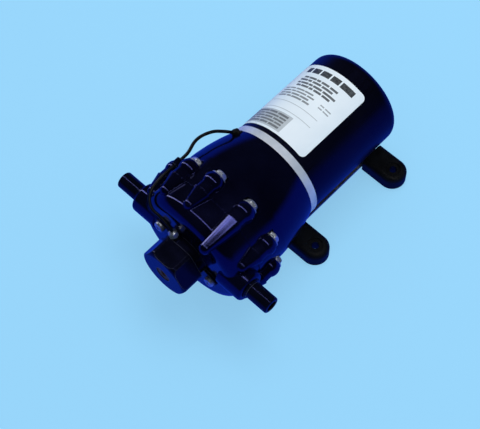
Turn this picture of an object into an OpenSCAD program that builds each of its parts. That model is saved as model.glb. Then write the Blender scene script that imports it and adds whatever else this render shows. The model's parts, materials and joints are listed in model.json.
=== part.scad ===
// Caravan water pump: three-chamber diaphragm pump on a permanent-magnet motor.
// The pump axis runs front to back. Pieces are drawn in an axis frame and laid down by on_axis():
// local x is to the right, local y is up and local z is forward of the end plate's middle.
// Clock angles are turned from straight up towards the right, seen from the front.

/* [Motor] */
// Outside diameter of the motor can
can_d = 76; // [72:1:82]
// Sheet thickness of the motor can
can_wall = 2.5; // [2:0.1:3]
// Length of the motor can behind the end plate
can_len = 88; // [82:1:100]
// Outside radius of the can's rear corner
can_corner = 8; // [5:0.5:10]
// How far the rear bearing cup stands out of the can
cup_out = 5; // [4:0.5:6]
// Diameter of the motor shaft
shaft_d = 8; // [7:0.5:9]
// Radial thickness of the magnets
magnet_t = 7; // [5:0.5:8]
// Gap between the magnets and the armature
air_gap = 0.7; // [0.5:0.1:1]
// Diameter of the commutator
comm_d = 22; // [20:1:24]
// Number of armature slots and commutator bars
slot_n = 12; // [8:1:14]

/* [Label] */
// Length of the label along the can
label_len = 66; // [40:1:70]
// Arc that the label covers, in degrees
label_arc = 136; // [90:1:170]
// Clock angle of the label's middle
label_turn = -36; // [-60:1:0]
// Corner radius of the label
label_corner = 4; // [2:0.5:6]

/* [End plate] */
// Width of the bright ring between can and drive housing
plate_w = 6; // [5:0.5:8]
// How far the ring stands proud of the can
plate_proud = 0.7; // [0.3:0.1:1.5]

/* [Drive housing] */
// Length of the curved bell
bell_len = 34; // [30:1:42]
// Radius of the curve along the bell
bell_bulge = 138; // [90:2:220]
// Outside diameter of the drum that carries the screw bosses
drum_d = 92; // [90:1:96]
// Length of the drum
drum_len = 25; // [24:1:30]
// Wall of the bell
bell_wall = 3.5; // [3:0.5:5]
// Thickness of the web behind the diaphragm
web_t = 6; // [5:0.5:7]

/* [Clamp screws] */
// Diameter of the circle that the clamp screws lie on
screw_circle = 91; // [90:0.5:94]
// Diameter of the clamp screws
screw_d = 5; // [4:0.5:5.5]
// Diameter of the screw bosses
boss_d = 15.6; // [13:0.2:15.8]
// Length of the bosses on the drive housing
boss_len = 15; // [12:1:20]
// Length of the long tapered boss on the front cover
nose_len = 30; // [26:0.5:32]
// Length of the other tapered bosses on the front cover
side_nose_len = 16; // [15:0.5:20]

/* [Wobble drive] */
// Tilt of the wobble plate
wobble = 4; // [2.5:0.25:4.5]
// Diameter of the circle that the pistons lie on
piston_circle = 42; // [41:0.5:44]
// Diameter of the pistons
piston_d = 23; // [20:0.5:24]
// Diameter of the pumping chambers
chamber_d = 30; // [29:0.5:31]
// Thickness of the diaphragm
rubber_t = 2; // [1.5:0.1:2.4]

/* [Pump head] */
// Depth of the pumping chambers
chamber_depth = 6; // [6:0.25:8]
// Thickness of the valve plate's floor
floor_t = 3; // [2.5:0.25:4]
// Depth of the water passages in the front cover
plenum = 9; // [9:0.25:11]
// Thickness of the front cover's wall
cover_wall = 3.5; // [3:0.25:5]
// Radius of the front cover's front edge
cover_edge = 9; // [8:0.5:11]

/* [Ports] */
// Outside diameter of the hose spigots
spigot_d = 12.7; // [11:0.1:14]
// Bore of the hose spigots
port_bore = 8.4; // [7:0.1:8.6]
// Distance from the pump axis to the tip of a spigot
port_reach = 70; // [66:1:80]
// Height of the ports above the pump axis
port_rise = 4; // [0:0.5:5]

/* [Pressure switch] */
// Width of the hexagonal cap across its corners
cap_d = 41; // [40:0.5:44]
// Length of the cap
cap_len = 17; // [16:0.5:22]
// Thickness of the switch base
seat_t = 6.5; // [6:0.5:8]
// Distance of the switch screws from the pump axis
ear_r = 25; // [23:0.5:27]
// Diameter of the adjusting screw
adjuster_d = 12; // [9:0.5:13]
// Diameter of the switch lead
lead_d = 2.4; // [2:0.1:3.2]

/* [Base] */
// Height of the pump axis above the floor
axis_h = 55; // [54:0.5:64]
// Distance between the mounting holes, side to side
hole_x = 93; // [88:1:104]
// Distance between the mounting holes, front to back
hole_y = 86; // [82:1:90]
// Diameter of the mounting holes
hole_d = 5.5; // [4.5:0.1:6.5]
// Width of a rubber foot
foot_w = 21; // [18:0.5:24]
// Height of a rubber foot
foot_h = 12; // [10:0.5:13]
// Thickness of the base plate
base_t = 2; // [1.5:0.1:3]

/* [Hidden] */
$fn = 96;

// Clearances
slip = 0.05;
ease = 0.2;

// Extra length that is cut off level where two housings meet
trim = 1;

// Colours
navy = "#0c0d22";
black = "#101012";
silver = "#c9ccd2";
steel = "#9a9ca0";
rubber = "#161616";

// Radii that follow the driving sizes
can_r = can_d / 2;
can_in = can_r - can_wall;
plate_r = can_r + plate_proud;
drum_r = drum_d / 2;
screw_r = screw_circle / 2;
drum_in = screw_r - screw_d / 2 - 3;
nut_r = screw_d * 0.925;
nut_h = screw_d * 0.8;
nut_flange_r = screw_d * 1.2;
nut_flange_t = 1.4;
nut_room = 0.6;
pocket_wall = 2.4;
drum_hollow = screw_r - nut_flange_r - pocket_wall;
core_r = can_in - magnet_t - air_gap;
piston_r = piston_circle / 2;
chamber_r = chamber_d / 2;
shaft_r = shaft_d / 2;
comm_r = comm_d / 2;
bell_back_r = plate_r + 0.3;

// Ball bearings: outside diameter, bore and width
motor_bearing = [shaft_d + 14, shaft_d, 7];
wobble_bearing = [shaft_d + 27, shaft_d + 9, 10];

// Stations along the pump axis, forward of the end plate's middle
z_plate_back = -plate_w / 2;
z_plate_front = plate_w / 2;
z_can_back = z_plate_back - can_len;
z_drum_back = z_plate_front + bell_len;
z_split = z_drum_back + drum_len;
z_web = z_split - rubber_t / 2;
z_web_back = z_web - web_t;
z_boss_back = z_split - boss_len;
z_boss_ball = z_boss_back + 5;
z_chamber = z_split + rubber_t / 2;
z_floor = z_chamber + chamber_depth;
z_plenum = z_floor + floor_t;
z_port = z_plenum + plenum / 2;
z_cover_in = z_plenum + plenum;
z_cover = z_cover_in + cover_wall;
z_seat = z_cover + seat_t;
z_cap = z_seat + cap_len;

// Motor internals
spigot_len = 4;
card_t = 2.5;
end_turn = 8.5;
comm_len = 10;
z_card_front = z_plate_back - spigot_len;
z_card_back = z_card_front - card_t;
z_comm = z_card_back - 1.5;
z_core_front = z_comm - comm_len - 1.5 - end_turn;
z_cup_floor = z_can_back - cup_out + can_wall;
z_rear_bearing = z_cup_floor + motor_bearing[2];
z_core_back = z_rear_bearing + 5 + end_turn;
motor_screw_d = 4;
motor_screw_r = bell_back_r - bell_wall - 5.5;
motor_screw_clock = [45, 135, 225, 315];
flange_in = motor_screw_r - 5;
flange_t = 3.5;
brush_w = 5;
brush_h = 7;
brush_len = 10;
slot_in = shaft_r + 8.5;
slot_w = 4;
magnet_arc = 124;
label_t = 0.25;
z_label_front = z_plate_back - 4;

// Wobble drive, measured back from the pivot along the tilted axis
bearing_back = z_split - z_plate_front - 22.5;
bearing_front = bearing_back - wobble_bearing[2];
hub_wall = 4;
hub_cap = 5;
pad_gap = 0.15;
pad_step = 0.6;
pad_t = 3;
piston_t = 2;
piston_boss_d = 18;
piston_screw_d = 4;
piston_screw_len = 13.5;
cam_hub_r = shaft_r + 8;

// Clock angles of the ten clamp screws, which keep clear of the ports, and of the three chambers
long_clock = 29;
screw_clock = [long_clock, 65, 101, 137, 173, -149, -109, -69, -38, -7];
chamber_clock = [0, 120, 240];

// Mounting: the middle of the hole pattern lies this far behind the end plate's middle
front_foot = 5;
y_plate = front_foot - hole_y / 2;
z_base_plate = 4;
saddle_w = 14;

// Front cover
seal_r = piston_r - chamber_r + 8.5;
inlet_valve_r = 8;
inlet_ring_r = drum_in - 3.7;
function nose_of(clock) = clock == long_clock ? nose_len : side_nose_len;
function stud_tip(clock) = z_split + nose_of(clock) - 7;
cover_step = 0.5;
boss_neck_r = boss_d / 2 - 1.2;
cover_r = drum_r - cover_step;
nose_base_r = boss_d / 2 - cover_step;
nose_tip_r = screw_d / 2 + 1.6;

// Ports
socket_r = spigot_d / 2 + 1.65;
port_boss_r = socket_r + 3.5;
port_face = drum_r + 5;
port_round = 2.5;
port_boss_in = 16;
socket_depth = 9.5;
collar_t = 1.5;
ring_section_r = 0.55;
ring_back = 6.7;
ring_groove = 0.9;

// Pressure switch
cap_flat = cap_d / 2 * cos(30);
ear_clock = [-65, 115];
ear_screw_d = 3;
ear_pad_r = 5;
ear_t = 2.2;
ear_head_r = 4;
ear_head_t = 2.6;
plunger_r = 6;
plunger_collar_r = 8;
plunger_stroke = 1.2;
switch_rubber_t = 1.5;
cap_front_t = 4;
cap_edge = 0.7;
z_collar = z_seat + 1;
z_spring = z_collar + 1.5;
z_adjuster = z_cap - 7;

// The switch lead: clock angle, distance and station of each point,
// measured from the switch, then from the cover's edge, the split and the back of the bell
lead_exit_clock = -25;
lead_clock = -52;
gland_clock = -41;
lead_exit = 3.2;
from_switch = [[-25, -1.5, 3.2], [-25, 2.8, 3.2], [-25, 6.8, 3.2], [-30, 12, 3.1], [-38, 17, 2.9]];
from_edge = [[-47, -6.5, 2.3], [-51, -1, -1.3], [-52, 2.6, -7.5], [-52, 4, -15]];
from_split = [[-52, 4.5, 0], [-52, 4.5, -10], [-52, 4.7, -20]];
from_bell = [
    [-52, 14.2, 30.6], [-52, 14.4, 25], [-51, 13.2, 19.5], [-48, 11.4, 15],
    [-43.5, 9, 11.8], [-41, 7, 9.5], [-41, 5, 7.5], [-41, 3, 5.5]];
lead_route = concat(
    [for (p = from_switch) p + [0, cap_flat, z_cover]],
    [for (p = from_edge) p + [0, drum_r, z_cover]],
    [for (p = from_split) p + [0, drum_r, z_split]],
    [for (p = from_bell) p + [0, bell_back_r, z_plate_front]]);
gland_at = [bell_back_r + 3, z_plate_front + 5.5];
gland_tail = 5.2;
gland_r = 2.1;
clip_r = drum_r + 4.5;
z_clip = z_split - 10;

// Base
base_screw_d = 4;
saddle_stations = [z_plate_back - 17, z_can_back + can_corner + saddle_w / 2 + 1];
foot_len = 20.5;
foot_round = 4;
foot_dish = 1;
foot_in = hole_x / 2 - foot_len;
ear_reach = hole_x / 2 - 7;
ear_w = foot_w - 6;

// Placing

// Lays the axis frame down: local z points to the front, local y up
module on_axis() {
    translate([0, y_plate, axis_h]) rotate([90, 0, 0]) children();
}

// Turns to a clock angle and moves out by r
module at_clock(clock, r = 0) {
    rotate([0, 0, -clock]) translate([0, r, 0]) children();
}

// The wobble plate's own axis: tilted about the pivot in the middle of the diaphragm
module tilted() {
    translate([0, 0, z_split]) rotate([wobble, 0, 0]) children();
}

// A cylinder between two stations
module rod(r, z0, z1) {
    translate([0, 0, z0]) cylinder(r = r, h = z1 - z0);
}

// A tube between two stations
module pipe(r_out, r_in, z0, z1) {
    difference() {
        rod(r_out, z0, z1);
        rod(r_in, z0 - 1, z1 + 1);
    }
}

// Shared shapes

// Half profile of a drum whose corner at station "round_end" is rounded
module half_drum(r, round_end, flat_end, corner) {
    way = flat_end > round_end ? 1 : -1;
    length = abs(flat_end - round_end);
    translate([0, round_end]) mirror([0, way > 0 ? 0 : 1]) {
        translate([0, corner]) square([r, length - corner]);
        square([r - corner, corner * 2]);
        translate([r - corner, corner]) circle(corner);
    }
}

// Centre of the arc of radius r that joins points p and q and bulges away from the axis
function arc_centre(p, q, r) =
    let (m = (p + q) / 2, d = q - p, half = norm(d) / 2, away = [-d[1], d[0]] / norm(d))
    m + away * sqrt(r * r - half * half);

// Rings and balls of a ball bearing between z0 and z0 + width
function pitch_r(b) = (b[0] + b[1]) / 4;
function ball_r(b) = (b[0] - b[1]) / 2 * 0.27;

module race_groove(b, z0) {
    translate([0, 0, z0 + b[2] / 2]) rotate_extrude() translate([pitch_r(b), 0]) circle(ball_r(b) + slip);
}

module bearing_outer(b, z0) {
    difference() {
        pipe(b[0] / 2 - slip, pitch_r(b) + ball_r(b) * 0.8, z0, z0 + b[2]);
        race_groove(b, z0);
    }
}

module bearing_inner(b, z0) {
    difference() {
        pipe(pitch_r(b) - ball_r(b) * 0.8, b[1] / 2 + slip, z0, z0 + b[2]);
        race_groove(b, z0);
    }
}

module bearing_balls(b, z0, n) {
    for (i = [0 : n - 1]) at_clock(360 / n * i, pitch_r(b))
        translate([0, 0, z0 + b[2] / 2]) sphere(ball_r(b));
}

// A tube swept along points, with a fixed number of sides
function unit(v) = v / norm(v);
function tangent(pts, i) =
    unit(pts[min(i + 1, len(pts) - 1)] - pts[max(i - 1, 0)]);
function ring_at(pts, i, r, sides, side) =
    let (t = tangent(pts, i), u = unit(cross(t, side)), v = cross(t, u))
    [for (k = [0 : sides - 1]) pts[i] + r * (cos(360 * k / sides) * u + sin(360 * k / sides) * v)];

module swept_tube(pts, r, sides, side) {
    n = len(pts);
    points = [for (i = [0 : n - 1]) each ring_at(pts, i, r, sides, side)];
    walls = [
        for (i = [0 : n - 2]) for (k = [0 : sides - 1])
            let (a = i * sides + k, b = i * sides + (k + 1) % sides)
            each [[a, b, b + sides], [a, b + sides, a + sides]]
    ];
    ends = [[for (k = [sides - 1 : -1 : 0]) k], [for (k = [0 : sides - 1]) (n - 1) * sides + k]];
    polyhedron(points, concat(walls, ends), convexity = 10);
}

// A compression spring of round wire standing on z = 0
module coil_spring(mean_r, wire_d, length, turns, steps = 14, sides = 6) {
    n = turns * steps;
    rise = length - wire_d;
    pts = [for (i = [0 : n]) [
        mean_r * cos(360 * i / steps), mean_r * sin(360 * i / steps), wire_d / 2 + rise * i / n]];
    swept_tube(pts, wire_d / 2, sides, [0, 0, 1]);
}

// Points of the smooth curve through the lead's route
function polar(p) = [p[1] * sin(p[0]), p[1] * cos(p[0]), p[2]];
function spline(a, b, c, d, t) =
    0.5 * (2 * b + (c - a) * t + (2 * a - 5 * b + 4 * c - d) * t * t + (3 * b - a - 3 * c + d) * t * t * t);
function smooth_route(route, steps) =
    let (p = [for (q = route) polar(q)], n = len(p))
    [for (i = [0 : n - 2]) for (s = [0 : steps - 1])
        spline(p[max(i - 1, 0)], p[i], p[i + 1], p[min(i + 2, n - 1)], s / steps), p[n - 1]];

// Motor

module motor_can() {
    color(navy) on_axis() difference() {
        union() {
            rotate_extrude() half_drum(can_r, z_can_back, z_plate_back, can_corner);
            rotate_extrude()
                half_drum(motor_bearing[0] / 2 + can_wall, z_can_back - cup_out, z_can_back + can_wall, 2);
        }
        rotate_extrude() half_drum(can_in, z_can_back + can_wall, z_plate_back + 1, can_corner - can_wall);
        rod(motor_bearing[0] / 2, z_cup_floor, z_can_back + can_wall + 1);
        for (z = saddle_stations) translate([0, 0, z]) rotate([90, 0, 0])
            rod(base_screw_d / 2 + slip, can_in - 1, can_r + 1);
    }
}

module motor_label() {
    color("white") on_axis() difference() {
        rotate([0, 0, 90 - label_turn - label_arc / 2]) rotate_extrude(angle = label_arc)
            translate([can_r + 0.02, z_label_front - label_len]) square([label_t, label_len]);
        for (side = [-1, 1], end = [0, 1])
            at_clock(label_turn + side * label_arc / 2) translate([0, 0, z_label_front - label_len * end])
                label_corner_cut(side, end);
    }
}

// What is cut off a label corner: a block less a round pin, pointing outwards
module label_corner_cut(side, end) {
    mirror([side > 0 ? 1 : 0, 0, 0]) mirror([0, 0, end > 0 ? 1 : 0]) rotate([-90, 0, 0])
        translate([0, 0, can_r - 3]) difference() {
            translate([-3, -1, 0]) cube([label_corner + 3, label_corner + 1, 6]);
            translate([label_corner, label_corner, -1]) cylinder(r = label_corner + slip, h = 8);
        }
}

module motor_magnets() {
    color("#3a3b3f") on_axis() for (clock = [0, 180])
        rotate([0, 0, 90 - clock - magnet_arc / 2]) rotate_extrude(angle = magnet_arc)
            translate([core_r + air_gap, z_core_back - 5])
                square([magnet_t - slip, z_core_front - z_core_back + 10]);
}

module motor_end_plate() {
    z_bearing = z_plate_front - motor_bearing[2];
    color(silver) on_axis() difference() {
        union() {
            rod(plate_r, z_plate_back, z_plate_front);
            pipe(can_in - slip, can_in - 5, z_card_front, z_plate_back + 0.5);
            rod(flange_in - slip, z_plate_front - 0.5, z_plate_front + 2.5);
            rod(motor_bearing[0] / 2 + 3, z_bearing - 1, z_plate_front);
        }
        rod(motor_bearing[0] / 2, z_bearing - 2, z_plate_front);
        rod(shaft_r + 3, z_plate_front - 1, z_plate_front + 3);
        for (clock = motor_screw_clock) at_clock(clock, motor_screw_r)
            rod(motor_screw_d / 2 + slip, z_plate_back + 0.5, z_plate_front + 1);
    }
}

module motor_screws() {
    color(steel) on_axis() for (clock = motor_screw_clock) at_clock(clock, motor_screw_r) difference() {
        union() {
            rod(motor_screw_d / 2, z_plate_back + 1, z_plate_front + flange_t);
            rod(motor_screw_d * 0.85, z_plate_front + flange_t, z_plate_front + flange_t + 2.4);
        }
        rotate([0, 0, 45]) translate([-2, -0.4, z_plate_front + flange_t + 1.2]) cube([4, 0.8, 2]);
    }
}

// Turns to a brush: local y runs outwards through the middle of the brush
module at_brushes() {
    for (clock = [-90, 90]) at_clock(clock) translate([0, 0, z_comm - comm_len / 2]) children();
}

module brush_card() {
    holder = brush_w / 2 + 1.5;
    holder_back = -brush_h / 2 - 1.5;
    holder_h = z_card_back + 0.5 - z_comm + comm_len / 2 - holder_back;
    color("#5a3b22") on_axis() difference() {
        union() {
            rod(can_in - 1, z_card_back, z_card_front);
            at_brushes() translate([-holder, comm_r + 2, holder_back])
                cube([2 * holder, brush_len + 7, holder_h]);
        }
        rod(motor_bearing[0] / 2 + 3.5, z_card_back - 1, z_card_front + 1);
        at_brushes() translate([-brush_w / 2 - slip, comm_r + 1, -brush_h / 2 - slip])
            cube([brush_w + 2 * slip, brush_len + 6.3, brush_h + 2 * slip]);
    }
}

module carbon_brushes() {
    color("#26262a") on_axis() at_brushes() difference() {
        translate([-brush_w / 2, comm_r - 1, -brush_h / 2]) cube([brush_w, brush_len + 1, brush_h]);
        rod(comm_r + slip, -brush_h, brush_h);
    }
}

module brush_springs() {
    color(steel) on_axis() at_brushes() translate([0, comm_r + brush_len + slip, 0]) rotate([-90, 0, 0])
        coil_spring(1.9, 0.6, 7.3 - 2 * slip, 5);
}

module armature_shaft() {
    color(steel) on_axis() rod(shaft_r, z_cup_floor + 0.5, z_plate_front + 34.5);
}

module armature_core() {
    stack = z_core_front - z_core_back;
    color("#6d6f73") on_axis() translate([0, 0, z_core_back]) linear_extrude(stack) difference() {
        circle(core_r);
        circle(shaft_r + slip);
        for (i = [0 : slot_n - 1]) rotate(360 / slot_n * i) {
            translate([-slot_w / 2, slot_in]) square([slot_w, core_r - 2.5 - slot_in]);
            translate([-0.8, core_r - 4]) square([1.6, 6]);
        }
    }
}

// One end turn: a thick rounded ring of wire
module end_ring(z0, z1) {
    thick = (z1 - z0) / 2;
    r_in = slot_in - 1 + thick;
    r_out = core_r - 2 - thick;
    rotate_extrude() translate([0, (z0 + z1) / 2]) {
        translate([r_in, -thick]) square([r_out - r_in, 2 * thick]);
        translate([r_in, 0]) circle(thick);
        translate([r_out, 0]) circle(thick);
    }
}

module armature_windings() {
    color("#b06a2c") on_axis() {
        end_ring(z_core_front + ease, z_core_front + end_turn);
        end_ring(z_core_back - end_turn, z_core_back - ease);
        for (i = [0 : slot_n - 1]) rotate([0, 0, 360 / slot_n * i])
            translate([-slot_w / 2 + ease, slot_in + ease, z_core_back - 3])
                cube([slot_w - 2 * ease, core_r - 4.4 - slot_in - ease, z_core_front - z_core_back + 6]);
    }
}

module commutator() {
    color("#b5773a") on_axis() difference() {
        union() {
            rod(comm_r, z_comm - comm_len, z_comm);
            rod(comm_r + 1.2, z_comm - comm_len, z_comm - comm_len + 1.2);
        }
        rod(shaft_r + slip, z_comm - comm_len - 1, z_comm + 1);
        for (i = [0 : slot_n - 1]) rotate([0, 0, 360 / slot_n * (i + 0.5)])
            translate([-0.3, comm_r - 1.2, z_comm - comm_len - 1]) cube([0.6, 4, comm_len + 2]);
    }
}

module front_bearing_outer() {
    color(steel) on_axis() bearing_outer(motor_bearing, z_plate_front - motor_bearing[2]);
}

module front_bearing_inner() {
    color(steel) on_axis() bearing_inner(motor_bearing, z_plate_front - motor_bearing[2]);
}

module front_bearing_balls() {
    color(silver) on_axis() bearing_balls(motor_bearing, z_plate_front - motor_bearing[2], 7);
}

module rear_bearing_outer() {
    color(steel) on_axis() bearing_outer(motor_bearing, z_cup_floor);
}

module rear_bearing_inner() {
    color(steel) on_axis() bearing_inner(motor_bearing, z_cup_floor);
}

module rear_bearing_balls() {
    color(silver) on_axis() bearing_balls(motor_bearing, z_cup_floor, 7);
}

// Drive housing and wobble drive

// Half profile of the bell: under an arc from its back edge to the drum
module half_bell(back, front, r_back, r_front, bulge) {
    intersection() {
        translate([0, back]) square([r_front, front - back]);
        translate(arc_centre([r_back, back], [r_front, front], bulge)) circle(bulge, $fn = 240);
    }
}

module drive_housing() {
    color(navy) on_axis() difference() {
        union() {
            rotate_extrude() {
                half_bell(z_plate_front, z_drum_back, bell_back_r, drum_r, bell_bulge);
                translate([0, z_drum_back]) square([drum_r, drum_len + trim]);
            }
            for (clock = screw_clock) at_clock(clock, screw_r) {
                rod(boss_neck_r, z_boss_ball, z_split + trim);
                translate([0, 0, z_boss_ball]) sphere(boss_d / 2);
            }
        }
        rotate_extrude() half_bell(z_plate_front + flange_t, z_drum_back - bell_wall,
            bell_back_r - bell_wall + 1, drum_r - bell_wall - 0.5, bell_bulge);
        rod(drum_hollow, z_plate_front + flange_t, z_web_back);
        rod(flange_in, z_plate_front - 1, z_plate_front + flange_t + 1);
        rod(drum_d, z_split, z_split + 2 * trim);
        rod(drum_in, z_web, z_split + 1);
        for (clock = chamber_clock) at_clock(clock, piston_r) rod(chamber_r, z_web_back - 1, z_web + 1);
        for (clock = motor_screw_clock) at_clock(clock, motor_screw_r)
            rod(motor_screw_d / 2 + ease, z_plate_front - 1, z_plate_front + flange_t + 1);
        for (clock = screw_clock) at_clock(clock, screw_r) {
            rod(screw_d / 2 + ease, z_boss_back - 1, z_split + 1);
            rod(nut_flange_r + ease, z_boss_back - nut_h - nut_room, z_boss_back);
            translate([-nut_flange_r - ease, 0, z_boss_back - nut_h - nut_room])
                cube([2 * (nut_flange_r + ease), boss_d, nut_h + nut_room]);
        }
        at_clock(gland_clock) gland_shape(slip);
    }
}

module wobble_cam() {
    journal_r = wobble_bearing[1] / 2;
    z_hub = z_plate_front + 11;
    color("#8b8d92") on_axis() difference() {
        union() {
            rod(cam_hub_r, z_hub, z_plate_front + 20.6);
            tilted() rod(journal_r + 2, -bearing_back - 2.5, -bearing_back);
            tilted() rod(journal_r - slip, -bearing_back - 1, -bearing_front);
            intersection() {
                rod(cam_hub_r + 8, z_hub, z_hub + 7);
                translate([-40, -42, z_hub - 1]) cube([80, 40, 10]);
            }
        }
        rod(shaft_r + slip, z_hub - 5, z_split);
        translate([0, 0, z_hub + 3.5]) rotate([90, 0, 0]) rod(2 + slip, 0, cam_hub_r + 10);
    }
}

module cam_set_screw() {
    color(steel) on_axis() translate([0, 0, z_plate_front + 14.5]) rotate([90, 0, 0]) difference() {
        rod(2, shaft_r + slip, cam_hub_r + 4);
        translate([0, 0, cam_hub_r + 2]) cylinder(r = 1.1, h = 3, $fn = 6);
    }
}

module wobble_bearing_outer() {
    color(steel) on_axis() tilted() bearing_outer(wobble_bearing, -bearing_back);
}

module wobble_bearing_inner() {
    color(steel) on_axis() tilted() bearing_inner(wobble_bearing, -bearing_back);
}

module wobble_bearing_balls() {
    color(silver) on_axis() tilted() bearing_balls(wobble_bearing, -bearing_back, 10);
}

module wobble_plate() {
    seat_r = wobble_bearing[0] / 2;
    z_pad = -rubber_t / 2 - pad_gap;
    color("#d8d4c8") on_axis() tilted() difference() {
        union() {
            rod(seat_r + hub_wall, -bearing_back - 1, -bearing_front + hub_cap);
            for (clock = chamber_clock) at_clock(clock, piston_r) {
                rod(piston_boss_d / 2, -bearing_front, z_pad);
                rod(piston_d / 2 - pad_step, z_pad - pad_t, z_pad);
            }
        }
        rod(seat_r, -bearing_back - 2, -bearing_front);
        rod(shaft_r + 4.5, -bearing_front - 1, 0);
        for (clock = chamber_clock) at_clock(clock, piston_r)
            rod(piston_screw_d / 2 + slip, -piston_screw_len - 0.5, 0);
    }
}

module pistons() {
    z_back = rubber_t / 2 + pad_gap;
    color("#d8d4c8") on_axis() tilted() for (clock = chamber_clock) at_clock(clock, piston_r) difference() {
        rotate_extrude() half_drum(piston_d / 2, z_back + piston_t, z_back, 0.8);
        rod(piston_screw_d / 2 + ease, z_back - 1, z_back + piston_t);
        translate([0, 0, z_back + 0.2])
            cylinder(r1 = piston_screw_d / 2 + ease, r2 = piston_screw_d + ease, h = piston_t - 0.2);
        rod(piston_screw_d + ease, z_back + piston_t - 0.01, z_back + piston_t + 1);
    }
}

module piston_screws() {
    z_top = rubber_t / 2 + pad_gap + piston_t - 0.1;
    color(steel) on_axis() tilted() for (clock = chamber_clock) at_clock(clock, piston_r) difference() {
        union() {
            rod(piston_screw_d / 2, -piston_screw_len, z_top - piston_t + 0.35);
            translate([0, 0, z_top - piston_t + 0.3])
                cylinder(r1 = piston_screw_d / 2, r2 = 3.7, h = piston_t - 0.3);
        }
        translate([-2, -0.4, z_top - 0.7]) cube([4, 0.8, 2]);
        translate([-0.4, -2, z_top - 0.7]) cube([0.8, 4, 2]);
    }
}

// The bent ring of rubber between a clamped edge and a tilted centre
module flexing_ring(clock, r_in, r_out, half_t, sides = 36) {
    middle = piston_r * [sin(clock), cos(clock)];
    function spot(r, k) = middle + r * [cos(360 * k / sides), sin(360 * k / sides)];
    function still(r, k, h) = [spot(r, k)[0], spot(r, k)[1], z_split + h];
    function tipped(r, k, h) = let (p = spot(r, k))
        [p[0], p[1] * cos(wobble) - h * sin(wobble), z_split + p[1] * sin(wobble) + h * cos(wobble)];
    points = concat(
        [for (k = [0 : sides - 1]) still(r_out, k, half_t)],
        [for (k = [0 : sides - 1]) tipped(r_in, k, half_t)],
        [for (k = [0 : sides - 1]) tipped(r_in, k, -half_t)],
        [for (k = [0 : sides - 1]) still(r_out, k, -half_t)]);
    faces = [for (j = [0 : 3]) for (k = [0 : sides - 1])
        let (n = (k + 1) % sides, a = j * sides + k, b = j * sides + n,
            c = (j + 1) % 4 * sides + n, d = (j + 1) % 4 * sides + k)
        each [[a, c, b], [a, d, c]]];
    polyhedron(points, faces, convexity = 6);
}

module diaphragm() {
    color(rubber) on_axis() difference() {
        union() {
            difference() {
                rod(drum_in - ease, z_web, z_chamber);
                for (clock = chamber_clock) at_clock(clock, piston_r)
                    rod(chamber_r, z_web - 1, z_chamber + 1);
            }
            for (clock = chamber_clock) {
                tilted() at_clock(clock, piston_r) rod(piston_d / 2, -rubber_t / 2, rubber_t / 2);
                flexing_ring(clock, piston_d / 2 - 0.5, chamber_r + 0.5, rubber_t / 2 - 0.1);
            }
        }
        tilted() for (clock = chamber_clock) at_clock(clock, piston_r) rod(piston_screw_d / 2 + ease, -5, 5);
    }
}

// Pump head

module valve_plate() {
    color("#e6e3da") on_axis() difference() {
        rod(drum_in - ease, z_chamber, z_plenum);
        for (clock = chamber_clock) at_clock(clock, piston_r) {
            rod(chamber_r, z_chamber - 1, z_floor);
            rod(1.6, z_floor - 1, z_plenum + 1);
            for (turn = [45, 135, 225, 315]) at_clock(turn, 5) rod(1.6, z_floor - 1, z_plenum + 1);
        }
        for (clock = chamber_clock, turn = [-14, 0, 14]) at_clock(clock + turn, seal_r - 5)
            rod(1.3, z_floor - 1, z_plenum + 1);
        rod(2.1, z_chamber - 1, z_plenum + 1);
        rod(3.5, z_chamber - 1, z_plenum - 5);
    }
}

// A mushroom valve: disc at the back, stem and bulb forward, standing on z = 0
module mushroom(disc_r, disc_t, stem_r, stem_len) {
    rotate_extrude() half_drum(disc_r, -disc_t, 0, 0.5);
    rod(stem_r, -0.1, stem_len);
    translate([0, 0, stem_len]) cylinder(r1 = stem_r * 1.45, r2 = stem_r * 0.8, h = 1.6);
}

module inlet_valves() {
    color("#7a2f22") on_axis() for (clock = chamber_clock) at_clock(clock, piston_r)
        translate([0, 0, z_floor - slip]) mushroom(inlet_valve_r, 1.1, 1.5, floor_t + 2 * slip);
}

module outlet_valve() {
    color("#7a2f22") on_axis() translate([0, 0, z_plenum + slip]) mirror([0, 0, 1])
        mushroom(seal_r - 2.5, 1.2, 2, 5 + 2 * slip);
}

module outlet_seal() {
    color(rubber) on_axis() pipe(seal_r + 0.6, seal_r - 0.6, z_plenum, z_plenum + 1.4);
}

// One port's axis: local z runs outwards
module at_port(side) {
    translate([0, port_rise, z_port]) rotate([0, 90 * side, 0]) children();
}

// A tapered boss with a round tip, on the split
module nose(length) {
    z_tip = z_split + length - nose_tip_r;
    slope = (nose_base_r - nose_tip_r) / (z_tip - z_split);
    translate([0, 0, z_split - trim])
        cylinder(r1 = nose_base_r + slope * trim, r2 = nose_tip_r, h = z_tip - z_split + trim);
    translate([0, 0, z_tip]) sphere(nose_tip_r);
}

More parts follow.
